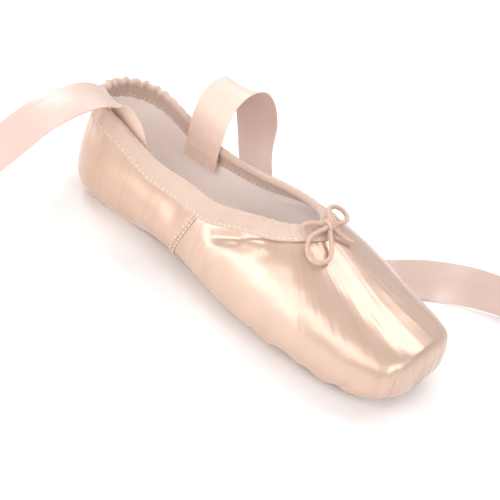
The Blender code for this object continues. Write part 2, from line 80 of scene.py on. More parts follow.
def camera():
    right, up, back = look()
    aim = right * AIM_RIGHT + up * AIM_UP
    lens = bpy.data.cameras.new("camera")
    lens.lens = CAMERA_LENS
    lens.sensor_width = 36.0
    lens.clip_start = 0.05
    made = bpy.data.objects.new("camera", lens)
    made.matrix_world = Matrix.Translation(aim + back * CAMERA_DISTANCE) @ Matrix(
        [[right[k], up[k], back[k], 0.0] for k in range(3)] + [[0.0, 0.0, 0.0, 1.0]]
    )
    bpy.context.scene.collection.objects.link(made)
    bpy.context.scene.camera = made
    return made


print("camera at", [round(x, 3) for x in camera().matrix_world.translation])

# %% [markdown]
# ## Node trees in Python
# Materials and Geometry Nodes are both node trees. One method adds any node: its type, its
# settings, then its sockets. A small class wraps an output, so that an expression such as
# `0.3 + 0.1 * blotch` adds the Math nodes by itself.


# %% Node helpers
class Value:
    """An output socket that Python's operators work on."""

    def __init__(self, nodes, socket):
        self.nodes = nodes
        self.socket = socket

    def joined(self, operation, *numbers):
        made = self.nodes.node("ShaderNodeMath", {"operation": operation}, dict(enumerate(numbers)))
        return made["Value"]

    def __add__(self, other):
        return self.joined("ADD", self, other)

    def __sub__(self, other):
        return self.joined("SUBTRACT", self, other)

    def __rsub__(self, other):
        return self.joined("SUBTRACT", other, self)

    def __mul__(self, other):
        return self.joined("MULTIPLY", self, other)

    __radd__ = __add__
    __rmul__ = __mul__

    def sine(self):
        return self.joined("SINE", self)

    def clipped(self):
        return self.joined("MINIMUM", self.joined("MAXIMUM", self, 0.0), 1.0)


class Nodes:
    """A node tree with one method for any node."""

    def __init__(self, tree):
        self.tree = tree
        self.tree.nodes.clear()

    def node(self, kind, settings=None, sockets=None):
        made = self.tree.nodes.new(kind)
        for name, value in (settings or {}).items():
            setattr(made, name, value)
        for key, value in (sockets or {}).items():
            socket = made.inputs[key] if isinstance(key, int) else self.named(made, key)
            if isinstance(value, Value):
                self.tree.links.new(value.socket, socket)
            else:
                socket.default_value = value
        return {s.name: Value(self, s) for s in made.outputs if s.enabled}

    def named(self, made, name):
        return next(s for s in made.inputs if s.enabled and s.name == name)


class Finish(Nodes):
    """A material under construction."""

    def __init__(self, name):
        self.made = bpy.data.materials.new(name)
        self.made.use_nodes = True
        super().__init__(self.made.node_tree)

    def place(self):
        """Object coordinates, in metres."""
        return self.node("ShaderNodeTexCoord")["Object"]

    def cloth_place(self):
        """The piece's own cloth coordinates, in metres along and across its threads."""
        at = self.node("ShaderNodeUVMap", {"uv_map": "cloth"})["UV"]
        return self.node("ShaderNodeSeparateXYZ", {}, {"Vector": at})

    def thread_place(self, scale):
        """Cloth coordinates stretched by a scale for each way, off the noise's flat layers."""
        at = self.node("ShaderNodeUVMap", {"uv_map": "cloth"})["UV"]
        sockets = {"Vector": at, "Scale": (*scale, 1.0), "Location": (0.0, 0.0, 0.37)}
        return self.node("ShaderNodeMapping", {}, sockets)["Vector"]

    def noise(self, place, scale, detail=2.0):
        sockets = {"Vector": place, "Scale": scale, "Detail": detail}
        return self.node("ShaderNodeTexNoise", {}, sockets)["Fac"]

    def mark(self, name):
        """A number that the mesh carries at its points."""
        return self.node("ShaderNodeAttribute", {"attribute_name": name})["Fac"]

    def blend(self, share, one, other):
        sockets = {"Factor": share, "A": one, "B": other}
        return self.node("ShaderNodeMix", {"data_type": "RGBA"}, sockets)["Result"]

    def bump(self, height, depth, strength=1.0):
        sockets = {"Height": height, "Distance": depth, "Strength": strength}
        return self.node("ShaderNodeBump", {}, sockets)["Normal"]

    def shaded(self, sockets):
        surface = self.node("ShaderNodeBsdfPrincipled", {}, sockets)["BSDF"]
        self.node("ShaderNodeOutputMaterial", {}, {"Surface": surface})
        return self.made


print("node helpers ready")

# %% [markdown]
# ## Satin
# Satin floats long shiny threads on its face, so light slides along it in broad soft bands.
# A painted gradient would be wrong from any other side. Here a fine noise is stretched along
# the threads and bumps the surface, which widens the shine across them, and a share of
# metallic tints the shine with the silk's own colour.


# %% Satin and ribbon
def rgb(red, green, blue):
    return (red, green, blue, 1.0)


def satin(name, light, deep, roughness, metallic, threads):
    """Satin; threads are the grain's changes in a metre, along the cloth's two ways."""
    finish = Finish(name)
    float_noise = finish.noise(finish.thread_place(threads), 1.0, 1.0)
    slub = finish.noise(finish.thread_place([0.2 * t for t in threads]), 1.0, 2.0)
    blotch = finish.noise(finish.place(), 34.0, 2.0)
    tone = (0.5 * blotch + 1.6 * slub - 0.55).clipped()
    return finish.shaded(
        {
            "Base Color": finish.blend(tone, light, deep),
            "Metallic": metallic,
            "Roughness": roughness - 0.05 + 0.14 * blotch,
            "Specular IOR Level": 0.8,
            "Sheen Weight": 0.25,
            "Sheen Roughness": 0.4,
            "Coat Weight": 0.35,
            "Coat Roughness": 0.3,
            "Normal": finish.bump(0.5 * float_noise + 4.0 * slub, 0.00007, 0.6),
        }
    )


SHOE_SATIN = satin(
    "shoe_satin", rgb(0.67, 0.475, 0.375), rgb(0.60, 0.41, 0.31), 0.315, 0.42, (2100.0, 70.0)
)
# The seam strip's satin is deeper in colour than the shoe's: painted shade of the grooves between
# its stitch rows, and the dark of its needle holes.
SEAM_SATIN_PAINTED_SHADE = satin(
    "seam_satin", rgb(0.58, 0.40, 0.29), rgb(0.51, 0.34, 0.24), 0.42, 0.15, (70.0, 2100.0)
)
RIBBON_FACE = satin(
    "ribbon_face", rgb(0.72, 0.54, 0.475), rgb(0.68, 0.495, 0.43), 0.40, 0.12, (60.0, 1900.0)
)
RIBBON_BACK = satin(
    "ribbon_back", rgb(0.83, 0.63, 0.53), rgb(0.78, 0.575, 0.48), 0.60, 0.05, (60.0, 1900.0)
)
print("satins:", SHOE_SATIN.name, SEAM_SATIN_PAINTED_SHADE.name, RIBBON_FACE.name, RIBBON_BACK.name)

# %% [markdown]
# ## Cotton, cord and leather
# The lining, tape and drawstring are matt cotton with a plain weave. A weave is two sines, one
# for each way of the threads, read from the piece's own cloth coordinates so that it follows
# the piece round its bends. The sole is pale leather with a pebbled grain, darker in the
# sewn channel and lighter at its cut edge. Those two are numbers that the mesh carries.


# %% Cotton
def cotton(name, light, deep, thread, weave_depth=0.00008):
    """Plain woven cotton; thread is the pitch of its weave in metres."""
    finish = Finish(name)
    cloth = finish.cloth_place()
    turns = 2 * math.pi / thread
    weave = (cloth["X"] * turns).sine() * (cloth["Y"] * turns).sine()
    mottle = finish.noise(finish.place(), 90.0, 4.0)
    lint = finish.noise(finish.place(), 900.0, 2.0)
    return finish.shaded(
        {
            "Base Color": finish.blend((1.5 * mottle - 0.25).clipped(), light, deep),
            "Metallic": 0.0,
            "Roughness": 0.78 + 0.14 * lint,
            "Sheen Weight": 0.35,
            "Sheen Roughness": 0.5,
            "Normal": finish.bump(weave + 0.8 * lint, weave_depth, 0.7),
        }
    )


LINING = cotton("lining_cotton", rgb(0.99, 0.90, 0.86), rgb(0.96, 0.85, 0.80), 0.0009)
SOCK = cotton("sock_cotton", rgb(0.95, 0.88, 0.86), rgb(0.90, 0.82, 0.81), 0.0011)
TAPE = cotton("binding_tape", rgb(0.67, 0.50, 0.41), rgb(0.62, 0.45, 0.365), 0.0007)
CORD = cotton("drawstring_cotton", rgb(0.75, 0.54, 0.43), rgb(0.68, 0.46, 0.35), 0.0005)
THREAD = cotton("pale_thread", rgb(0.96, 0.84, 0.72), rgb(0.92, 0.76, 0.62), 0.0003)
SOLE_THREAD = cotton("sole_thread", rgb(0.20, 0.08, 0.05), rgb(0.12, 0.05, 0.03), 0.0003)
print("cottons:", LINING.name, SOCK.name, TAPE.name, CORD.name, THREAD.name, SOLE_THREAD.name)


# %% Leather
def leather():
    finish = Finish("sole_leather")
    grain = finish.node("ShaderNodeTexVoronoi", {}, {"Vector": finish.place(), "Scale": 1500.0})
    nap = finish.noise(finish.place(), 2600.0, 3.0)
    cloud = finish.noise(finish.place(), 42.0, 4.0)
    skin = finish.blend((1.4 * cloud - 0.2).clipped(), rgb(0.74, 0.51, 0.44), rgb(0.67, 0.43, 0.36))
    pale = finish.blend(finish.mark("edge"), skin, rgb(0.79, 0.61, 0.52))
    colour = finish.blend(finish.mark("channel"), pale, rgb(0.48, 0.28, 0.22))
    return finish.shaded(
        {
            "Base Color": colour,
            "Metallic": 0.0,
            "Roughness": 0.52 + 0.2 * nap,
            "Sheen Weight": 0.15,
            "Normal": finish.bump(grain["Distance"] * 0.8 + 0.4 * nap, 0.00012, 0.5),
        }
    )


SOLE_LEATHER = leather()
print("leather:", SOLE_LEATHER.name)

# %% [markdown]
# ## Meshes, and Geometry Nodes that follow a path
# Most pieces are grids: rows along the piece, points across it. One helper joins a grid's
# points with faces and lays cloth coordinates on them. Cords and rows of stitches follow a
# path. Geometry Nodes suit them: the path is a chain of edges, a tree sweeps or repeats
# something along it, and the result is kept as a plain mesh.


# %% Mesh helpers
def linked(name, mesh, slot=None, finishes=()):
    """An object from a mesh, with its finishes, riding on the shoe."""
    for finish in finishes:
        mesh.materials.append(finish)
    made = bpy.data.objects.new(name, mesh)
    bpy.context.scene.collection.objects.link(made)
    if slot:
        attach(made, "root")
    return made


def lay_cloth(mesh, cloth):
    """Two cloth coordinates for each point: metres along and across the threads."""
    corner = np.zeros(len(mesh.loops), int)
    mesh.loops.foreach_get("vertex_index", corner)
    layer = mesh.uv_layers.new(name="cloth")
    layer.uv.foreach_set("vector", np.asarray(cloth, float)[corner].ravel())


def piece(name, section, faces, cloth, sharp, slot, finishes, second=None):
    """A smooth piece from a grid of points; second tells which faces take its second finish."""
    mesh = bpy.data.meshes.new(name)
    points = section.reshape(-1, 3).tolist()
    mesh.from_pydata(points, [], [tuple(map(int, face)) for face in faces])
    mesh.shade_smooth()
    mesh.set_sharp_from_angle(angle=math.radians(sharp))
    lay_cloth(mesh, cloth)
    made = linked(name, mesh, slot, finishes)
    if second:
        mesh.polygons.foreach_set("material_index", [int(is_second) for is_second in second])
    return made


def carry(mesh, name, numbers):
    """Numbers that the mesh carries at its points, for its finish."""
    mark = mesh.attributes.new(name, "FLOAT", "POINT")
    mark.data.foreach_set("value", np.asarray(numbers, float).ravel())


def run(points, axis=0):
    """Distance along each line of a grid of points, from its start."""
    step = np.linalg.norm(np.diff(points, axis=axis), axis=-1)
    start = np.zeros_like(np.take(step, [0], axis=axis))
    return np.concatenate([start, np.cumsum(step, axis=axis)], axis=axis)


def grid_faces(rows, columns, round_rows=False, round_columns=False):
    """Faces of a grid whose points are numbered row by row."""
    faces = []
    for i in range(rows if round_rows else rows - 1):
        for j in range(columns if round_columns else columns - 1):
            k = (j + 1) % columns
            i2 = (i + 1) % rows
            faces.append((i * columns + j, i * columns + k, i2 * columns + k, i2 * columns + j))
    return faces


def flipped(faces):
    return [face[::-1] for face in faces]


def cloth_grid(along, across):
    """Cloth coordinates of a grid's points from those of its rows and its columns."""
    return np.stack(np.broadcast_arrays(along, across), axis=-1).reshape(-1, 2)


def at(want, measure, line):
    """Points of a line where a measure along it has the wanted values."""
    return np.stack([np.interp(want, measure, column) for column in line.T], axis=-1)


def unit(vectors):
    return vectors / np.maximum(np.linalg.norm(vectors, axis=-1, keepdims=True), 1e-12)


print("mesh helpers ready")


# %% Trees that follow a path
def socket_for(tree, name, kind, value=None, way="INPUT"):
    made = tree.interface.new_socket(name, in_out=way, socket_type="NodeSocket" + kind)
    if value is not None:
        made.default_value = value


def new_tree(name, sizes):
    """A Geometry Nodes tree with a path, named sizes and a material as inputs."""
    tree = bpy.data.node_groups.new(name, "GeometryNodeTree")
    socket_for(tree, "Path", "Geometry")
    for size, value in sizes.items():
        socket_for(tree, size, "Int" if isinstance(value, int) else "Float", value)
    socket_for(tree, "Finish", "Material")
    socket_for(tree, "Piece", "Geometry", way="OUTPUT")
    nodes = Nodes(tree)
    given = nodes.node("NodeGroupInput")
    curve = nodes.node("GeometryNodeMeshToCurve", {}, {"Mesh": given["Path"]})["Curve"]
    return nodes, given, curve


def close_tree(nodes, given, geometry):
    real = nodes.node("GeometryNodeRealizeInstances", {}, {"Geometry": geometry})["Geometry"]
    smooth = nodes.node("GeometryNodeSetShadeSmooth", {}, {"Geometry": real})["Geometry"]
    sockets = {"Geometry": smooth, "Material": given["Finish"]}
    finished = nodes.node("GeometryNodeSetMaterial", {}, sockets)["Geometry"]
    nodes.node("NodeGroupOutput", {}, {"Piece": finished})
    return nodes.tree


def stitch_tree():
    """A small thread bead at each step of the path, turned along it."""
    sizes = {"Pitch": 0.0028, "Stitch Length": 0.0020, "Thread Radius": 0.00022, "Seed": 3}
    nodes, given, curve = new_tree("stitch_row", sizes)
    sockets = {"Curve": curve, "Length": given["Pitch"]}
    steps = nodes.node("GeometryNodeResampleCurve", {"mode": "LENGTH"}, sockets)["Curve"]
    ball = nodes.node("GeometryNodeMeshUVSphere", {}, {"Segments": 6, "Rings": 4, "Radius": 1.0})
    sockets = {
        "X": given["Stitch Length"] * 0.5, "Y": given["Thread Radius"], "Z": given["Thread Radius"]
    }
    size = nodes.node("ShaderNodeCombineXYZ", {}, sockets)["Vector"]
    sockets = {"Geometry": ball["Mesh"], "Scale": size}
    bead = nodes.node("GeometryNodeTransform", {}, sockets)["Geometry"]
    tangent = nodes.node("GeometryNodeInputTangent")["Tangent"]
    sockets = {"Vector": tangent}
    turn = nodes.node("FunctionNodeAlignRotationToVector", {"axis": "X"}, sockets)["Rotation"]
    sockets = {"Min": 0.88, "Max": 1.08, "Seed": given["Seed"]}
    vary = nodes.node("FunctionNodeRandomValue", {"data_type": "FLOAT"}, sockets)["Value"]
    sockets = {"Points": steps, "Instance": bead, "Rotation": turn, "Scale": vary}
    row = nodes.node("GeometryNodeInstanceOnPoints", {}, sockets)["Instances"]
    return close_tree(nodes, given, row)


def twine_tree():
    """A cord of laid strands: a lobed outline swept along the path, turning as it goes."""
    sizes = {"Strands": 4, "Radius": 0.0013, "Valley": 0.80, "Twist": 1100.0}
    nodes, given, curve = new_tree("laid_cord", sizes)
    along = nodes.node("GeometryNodeSplineParameter")["Length"]
    sockets = {"Curve": curve, "Tilt": along * given["Twist"]}
    turned = nodes.node("GeometryNodeSetCurveTilt", {}, sockets)["Curve"]
    sockets = {
        "Points": given["Strands"],
        "Inner Radius": given["Radius"] * given["Valley"],
        "Outer Radius": given["Radius"],
    }
    outline = nodes.node("GeometryNodeCurveStar", {}, sockets)["Curve"]
    sockets = {"Curve": outline, "Count": 16}
    outline = nodes.node("GeometryNodeResampleCurve", {"mode": "COUNT"}, sockets)["Curve"]
    sockets = {"Curve": turned, "Profile Curve": outline, "Fill Caps": True}
    swept = nodes.node("GeometryNodeCurveToMesh", {}, sockets)["Mesh"]
    return close_tree(nodes, given, swept)


STITCHES = stitch_tree()
TWINE = twine_tree()
print("trees:", STITCHES.name, TWINE.name)


# %% Follow a path
def follow(name, tree, paths, finish, slot, **sizes):
    """A plain mesh piece, made by a tree along one path or several."""
    points = np.concatenate(paths)
    edges = []
    first = 0
    for path in paths:
        edges += [(first + k, first + k + 1) for k in range(len(path) - 1)]
        first += len(path)
    line = bpy.data.meshes.new(name + "_path")
    line.from_pydata(points.tolist(), edges, [])
    carrier = linked(name + "_path", line)
    modifier = carrier.modifiers.new("along", "NODES")
    modifier.node_group = tree
    wanted = {"Finish": finish, **{key.replace("_", " "): size for key, size in sizes.items()}}
    for item in tree.interface.items_tree:
        if item.in_out == "INPUT" and item.name in wanted:
            modifier[item.identifier] = wanted[item.name]
    graph = bpy.context.evaluated_depsgraph_get()
    mesh = bpy.data.meshes.new_from_object(carrier.evaluated_get(graph))
    mesh.name = name
    bpy.data.objects.remove(carrier)
    if not mesh.uv_layers:
        place = np.zeros(3 * len(mesh.vertices))
        mesh.vertices.foreach_get("co", place)
        lay_cloth(mesh, place.reshape(-1, 3)[:, :2])
    made = linked(name, mesh, slot)
    print(name, len(mesh.polygons), "faces")
    return made


# %% [markdown]
# ## The last
# A shoe is shaped on a last. Its sections are named sizes along the foot: how wide, how
# high, where it is widest and how square. A curve that never swings past its rows joins them.
# These are the model's own sizes and functions, so that what is made here fits it.

# %% Sizes of the last
SHOE_LENGTH = 0.228
BALL_WIDTH = 0.082
WAIST_WIDTH = 0.059
HEEL_WIDTH = 0.054
PLATFORM_WIDTH = 0.055
PLATFORM_HEIGHT = 0.028
INSTEP_HEIGHT = 0.056
SIDE_HEIGHT = 0.046
HEEL_HEIGHT = 0.059
VAMP_LENGTH = 0.080
THROAT_WIDTH = 0.026
THROAT_ROUND = 0.014
THROAT_LENGTH = 0.044
TOE_CORNER = 0.012
PLATFORM_EDGE = 0.0045
HEEL_ROUND = 0.027
QUARTER_WALL = 0.0016
BOX_WALL = 0.0026
BINDING_WIDTH = 0.010
GAP = 0.0003
SOLE_THICKNESS = 0.0030
SOLE_EDGE_ROUND = 0.0008
PLEAT_LENGTH = 0.045
SOLE_HEEL_INSET = 0.008
SOLE_TIP_WIDTH = 0.034
SOLE_WIDTH = 0.052
SOLE_WAIST_WIDTH = 0.029
SOLE_HEEL_WIDTH = 0.035
SOLE_CORNER = 0.007
LASTING_LAP = 0.007
INSOLE_THICKNESS = 0.0016
ARCH_RISE = 0.0028
TOE_SPRING = 0.0024
PLEATS_A_SIDE = 7
TOE_ZONE_END = 0.57
HEEL_ZONE_START = 0.12

LAST = {
    "at": (0.00, 0.09, 0.22, 0.36, 0.50, 0.649, 0.75, 0.87, 1.00),
    "width": (
        HEEL_WIDTH, HEEL_WIDTH, 0.98 * HEEL_WIDTH, WAIST_WIDTH, 0.88 * BALL_WIDTH,
        0.985 * BALL_WIDTH, BALL_WIDTH, 0.91 * BALL_WIDTH, PLATFORM_WIDTH,
    ),
    "crown": (
        1.42 * HEEL_HEIGHT, 1.38 * HEEL_HEIGHT, 1.22 * HEEL_HEIGHT, 1.04 * INSTEP_HEIGHT,
        1.03 * INSTEP_HEIGHT, INSTEP_HEIGHT, 0.88 * INSTEP_HEIGHT, 0.72 * INSTEP_HEIGHT,
        SOLE_THICKNESS + TOE_SPRING + PLATFORM_HEIGHT,
    ),
    "widest": (
        0.36 * HEEL_HEIGHT, 0.36 * HEEL_HEIGHT, 0.34 * HEEL_HEIGHT, 0.33 * INSTEP_HEIGHT,
        0.31 * INSTEP_HEIGHT, 0.31 * INSTEP_HEIGHT, 0.31 * INSTEP_HEIGHT, 0.31 * INSTEP_HEIGHT,
        SOLE_THICKNESS + TOE_SPRING + 0.44 * PLATFORM_HEIGHT,
    ),
    "full": (2.1, 2.1, 2.1, 2.1, 2.1, 2.15, 2.2, 2.3, 2.5),
}
SEAT = {
    "at": (0.00, 0.20, 0.38, 0.56, 0.76, 1.00),
    "rise": (0.0, 0.0, ARCH_RISE, 0.0, 0.0, TOE_SPRING),
}
COLLAR = {
    "at": (0.00, 0.12, 0.29, 0.42, 0.52, 0.66),
    "height": (
        HEEL_HEIGHT, 0.93 * HEEL_HEIGHT, SIDE_HEIGHT, 1.01 * SIDE_HEIGHT, 0.91 * INSTEP_HEIGHT,
        INSTEP_HEIGHT,
    ),
}
SOLE = {
    "at": (0.00, 0.14, 0.30, 0.48, 0.70, 0.83, 0.93, 1.00),
    "width": (
        0.94 * SOLE_HEEL_WIDTH, SOLE_HEEL_WIDTH, 0.94 * SOLE_HEEL_WIDTH, SOLE_WAIST_WIDTH,
        0.88 * SOLE_WIDTH, SOLE_WIDTH, 0.86 * SOLE_WIDTH, SOLE_TIP_WIDTH,
    ),
}
print("shoe", 1000 * SHOE_LENGTH, "mm long,", 1000 * BALL_WIDTH, "mm wide at the ball")


# %% Shape of the last
def smooth(table, column):
    """A curve through a table's column that never swings past its rows, as a function of at."""
    at = np.array(table["at"], float)
    value = np.array(table[column], float)
    step = np.diff(at)
    rise = np.diff(value) / step
    slope = np.zeros(len(at))
    slope[0] = rise[0]
    slope[-1] = rise[-1]
    same_way = rise[:-1] * rise[1:] > 0
    before = np.where(same_way, rise[:-1], 1.0)
    after = np.where(same_way, rise[1:], 1.0)
    weight_before = 2 * step[1:] + step[:-1]
    weight_after = step[1:] + 2 * step[:-1]
    mean = (weight_before + weight_after) / (weight_before / before + weight_after / after)
    slope[1:-1] = np.where(same_way, mean, 0.0)

    def curve(share):
        share = np.clip(np.asarray(share, float), at[0], at[-1])
        i = np.clip(np.searchsorted(at, share, side="right") - 1, 0, len(step) - 1)
        t = (share - at[i]) / step[i]
        low = value[i] * (1 + 2 * t) * (1 - t) ** 2 + slope[i] * step[i] * t * (1 - t) ** 2
        return low + value[i + 1] * t * t * (3 - 2 * t) + slope[i + 1] * step[i] * t * t * (t - 1)

    return curve


last_width = smooth(LAST, "width")
last_crown = smooth(LAST, "crown")
last_widest = smooth(LAST, "widest")
last_full = smooth(LAST, "full")
seat_rise = smooth(SEAT, "rise")
collar_line = smooth(COLLAR, "height")
sole_width = smooth(SOLE, "width")
SOLE_START = SOLE_HEEL_INSET
SOLE_END = SHOE_LENGTH - PLEAT_LENGTH
THROAT_X = SHOE_LENGTH - VAMP_LENGTH
FINE_STEPS = 4001


def smoothed(share):
    share = np.clip(share, 0, 1)
    return share * share * (3 - 2 * share)


def rounded(depth, radius, power):
    """1 away from an end, closing to 0 at it like a rounded corner. depth is the distance to it."""
    in_corner = np.clip(1 - np.asarray(depth, float) / radius, 0, 1)
    return (1 - in_corner**power) ** (1 / power)


def half_width(x):
    ends = rounded(SHOE_LENGTH - x, TOE_CORNER, 2.6) * rounded(x, HEEL_ROUND, 2.0)
    return last_width(x / SHOE_LENGTH) / 2 * ends


def widest(x):
    return last_widest(x / SHOE_LENGTH)


def crown(x):
    ends = rounded(SHOE_LENGTH - x, PLATFORM_EDGE, 2.4) * rounded(x, HEEL_ROUND, 2.2)
    return widest(x) + (last_crown(x / SHOE_LENGTH) - widest(x)) * ends


def seat(x):
    """Height of the upper's underside along the middle."""
    return SOLE_THICKNESS + GAP + seat_rise(x / SHOE_LENGTH)


def top_height(x, y):
    """Height of the last's upper half over a point of its plan."""
    full = last_full(x / SHOE_LENGTH)
    across = np.clip(np.abs(y) / np.maximum(half_width(x), 1e-9), 0, 1)
    return widest(x) + (crown(x) - widest(x)) * (1 - across**full) ** (1 / full)


def sole_half_width(x, inset=0.0):
    """Half the outsole's width at x, or that of a smaller outline inset from it all round."""
    start = SOLE_START + inset
    end = SOLE_END - inset
    share = (x - SOLE_START) / (SOLE_END - SOLE_START)
    ends = rounded(end - x, SOLE_CORNER, 2.4) * rounded(x - start, 1.9 * SOLE_CORNER, 2.0)
    return (sole_width(share) / 2 - inset) * ends


def opening_half_width(x):
    """Half the width of the collar's opening at x."""
    full = last_full(x / SHOE_LENGTH)
    behind = np.clip((THROAT_X - x) / THROAT_ROUND, 0, 1)
    throat = THROAT_WIDTH / BALL_WIDTH
    wider = throat + 0.42 * np.clip((THROAT_X - x) / THROAT_LENGTH, 0, 1) ** 1.2
    by_plan = (1 - (wider * np.sqrt(1 - (1 - behind) ** 2)) ** full) ** (1 / full)
    by_height = (collar_line(x / SHOE_LENGTH) - widest(x)) / np.maximum(crown(x) - widest(x), 1e-6)
    turn = smoothed((THROAT_X - x - 0.5 * THROAT_ROUND) / THROAT_LENGTH)
    share = np.clip(by_plan * (1 - turn) + by_height * turn, 0, 1)
    return half_width(x) * (1 - share**full) ** (1 / full)


def half_outline(half, start, end):
    """A dense half outline in plan, from the toe end at y = 0 round to the heel end at y = 0."""
    angle = np.linspace(0, math.pi, FINE_STEPS)
    x = (start + end) / 2 + (end - start) / 2 * np.cos(angle)
    y = half(x)
    y[0] = 0.0
    y[-1] = 0.0
    return np.stack([x, y], axis=1)


def heel_collar_x():
    """Where the collar crosses the middle of the heel's back."""
    x = np.linspace(0, HEEL_ROUND, FINE_STEPS)
    reached = crown(x) >= collar_line(x / SHOE_LENGTH)
    return float(x[np.argmax(reached)])


def placed(points):
    """The shoe's middle is over the frame's origin."""
    return np.asarray(points) - np.array([SHOE_LENGTH / 2, 0.0, 0.0])


print("throat at", round(1000 * (THROAT_X - SHOE_LENGTH / 2), 1), "mm before the middle")

# %% [markdown]
# ## The drawstring and the ribbons
# A drawstring runs inside the binding and is tied in a small bow on the throat. The ribbons
# are sewn inside the collar and lie loose on the floor. All of them are soft things of a
# fixed length. Their routes are the model's own.

# %% Routes
CORD_DIAMETER = 0.0026
RIBBON_WIDTH = 0.022
RIBBON_THICKNESS = 0.0005
KNOT_PLACE = (0.0394, 0.0, 0.0594)

# Routes of the drawstring's cords, in mm: x from the middle of the shoe, y, and height over
# the last
DRAWSTRING = {
    "loop_right": (
        (40.2, -4.4, 4.4), (39.4, -9.4, 3.9), (39.2, -14.6, 3.6), (41.8, -19.4, 3.0),
        (46.6, -21.4, 2.6), (51.0, -18.8, 2.5), (52.0, -13.6, 2.4), (49.0, -8.6, 2.6),
        (43.6, -4.2, 4.0),
    ),
    "loop_left": (
        (37.0, 3.4, 4.3), (33.9, 6.4, 4.8), (31.4, 10.6, 5.4), (31.8, 15.0, 6.0),
        (35.4, 17.4, 6.2), (39.4, 15.8, 5.6), (41.4, 11.4, 4.8), (40.7, 4.7, 4.3),
    ),
    "end_right": (
        (36.8, -3.5, 3.8), (34.6, -6.0, 3.7), (32.8, -8.8, 3.5), (31.8, -12.0, 3.3),
    ),
    "end_left": (
        (43.4, 1.4, 3.7), (46.0, 2.8, 3.1), (48.8, 4.8, 2.5), (51.2, 7.6, 2.2),
    ),
}

RIBBON_RIGHT = {
    "place": (
        (-0.0700, -0.0220, 0.0240), (-0.0712, -0.0208, 0.0340), (-0.0745, -0.0193, 0.0440),
        (-0.0820, -0.0182, 0.0550), (-0.0895, -0.0214, 0.0636), (-0.0945, -0.0330, 0.0668),
        (-0.0985, -0.0490, 0.0640), (-0.1015, -0.0660, 0.0560), (-0.1045, -0.0830, 0.0440),
        (-0.1080, -0.0990, 0.0310), (-0.1130, -0.1140, 0.0190), (-0.1220, -0.1280, 0.0130),
        (-0.1350, -0.1390, 0.0118), (-0.1520, -0.1450, 0.0115), (-0.1710, -0.1450, 0.0113),
        (-0.1880, -0.1380, 0.0108), (-0.2020, -0.1250, 0.0096), (-0.2110, -0.1070, 0.0078),
        (-0.2130, -0.0870, 0.0056), (-0.2080, -0.0680, 0.0034), (-0.1970, -0.0510, 0.0018),
        (-0.1820, -0.0390, 0.0010),
    ),
    "width": (
        (1.0, 0.0, 0.12), (1.0, 0.02, 0.14), (1.0, 0.04, 0.22), (0.97, -0.10, 0.20),
        (0.97, -0.22, 0.02), (0.97, -0.22, -0.06), (0.97, -0.20, -0.10), (0.96, -0.16, -0.16),
        (0.94, -0.14, -0.22), (0.90, -0.14, -0.36), (0.78, -0.12, -0.60), (0.50, -0.10, -0.86),
        (0.22, -0.10, -0.97), (0.04, -0.14, -0.99), (-0.08, -0.22, -0.97), (-0.24, -0.30, -0.92),
        (-0.46, -0.34, -0.82), (-0.70, -0.30, -0.64), (-0.88, -0.12, -0.46), (-0.96, 0.14, -0.26),
        (-0.88, 0.44, -0.12), (-0.74, 0.66, -0.03),
    ),
}
RIBBON_LEFT = {
    "place": (
        (-0.0560, 0.0218, 0.0240), (-0.0560, 0.0206, 0.0330), (-0.0559, 0.0191, 0.0420),
        (-0.0558, 0.0184, 0.0510), (-0.0565, 0.0204, 0.0620), (-0.0568, 0.0262, 0.0715),
        (-0.0556, 0.0345, 0.0765), (-0.0532, 0.0430, 0.0738), (-0.0500, 0.0488, 0.0645),
        (-0.0468, 0.0520, 0.0520), (-0.0440, 0.0538, 0.0382), (-0.0400, 0.0548, 0.0250),
        (-0.0325, 0.0552, 0.0132), (-0.0200, 0.0554, 0.0054), (-0.0040, 0.0556, 0.0018),
        (0.0150, 0.0568, 0.0012), (0.0340, 0.0625, 0.0020), (0.0520, 0.0730, 0.0044),
        (0.0700, 0.0870, 0.0076), (0.0910, 0.1010, 0.0102), (0.1160, 0.1110, 0.0112),
        (0.1400, 0.1120, 0.0104), (0.1620, 0.1040, 0.0086), (0.1780, 0.0880, 0.0066),
        (0.1850, 0.0680, 0.0042), (0.1840, 0.0480, 0.0022), (0.1760, 0.0300, 0.0012),
    ),
    "width": (
        (1.0, 0.0, 0.0), (1.0, 0.0, 0.0), (1.0, 0.0, 0.0), (1.0, 0.02, 0.0),
        (0.99, 0.02, -0.02), (0.99, -0.02, -0.02), (0.99, -0.06, 0.04), (0.97, 0.10, 0.16),
        (0.88, 0.42, 0.20), (0.66, 0.74, 0.16), (0.36, 0.92, 0.14), (0.14, 0.98, 0.10),
        (0.0, 1.0, 0.04), (-0.04, 1.0, 0.0), (-0.08, 1.0, 0.0), (-0.20, 0.98, 0.02),
        (-0.40, 0.90, 0.14), (-0.46, 0.78, 0.40), (-0.34, 0.58, 0.72), (-0.16, 0.30, 0.93),
        (0.0, 0.06, 1.0), (-0.08, -0.28, 0.95), (-0.34, -0.48, 0.80), (-0.66, -0.42, 0.60),
        (-0.88, -0.22, 0.40), (-0.97, 0.10, 0.18), (-0.92, 0.38, 0.06),
    ),
}


def smooth_route(points, steps):
    """A smooth curve through a given route, steps points for each of its stretches."""
    p = np.asarray(points, float)
    ends = np.concatenate([[2 * p[0] - p[1]], p, [2 * p[-1] - p[-2]]])
    t = np.linspace(0, 1, steps + 1)[:-1, None]
    parts = []
    for a, b, c, d in zip(ends, ends[1:], ends[2:], ends[3:]):
        bend = (2 * a - 5 * b + 4 * c - d) * t**2 + (3 * b - a - 3 * c + d) * t**3
        parts.append(0.5 * (2 * b + (c - a) * t + bend))
    return np.concatenate([*parts, p[-1:]])


def on_last(route):
    """Points of a route in metres, set at its heights over the last."""
    x, y, over = np.array(route, float).T / 1000
    return np.column_stack([x, y, top_height(x + SHOE_LENGTH / 2, y) + over])


def length_of(route):
    return float(np.linalg.norm(np.diff(route, axis=0), axis=1).sum())


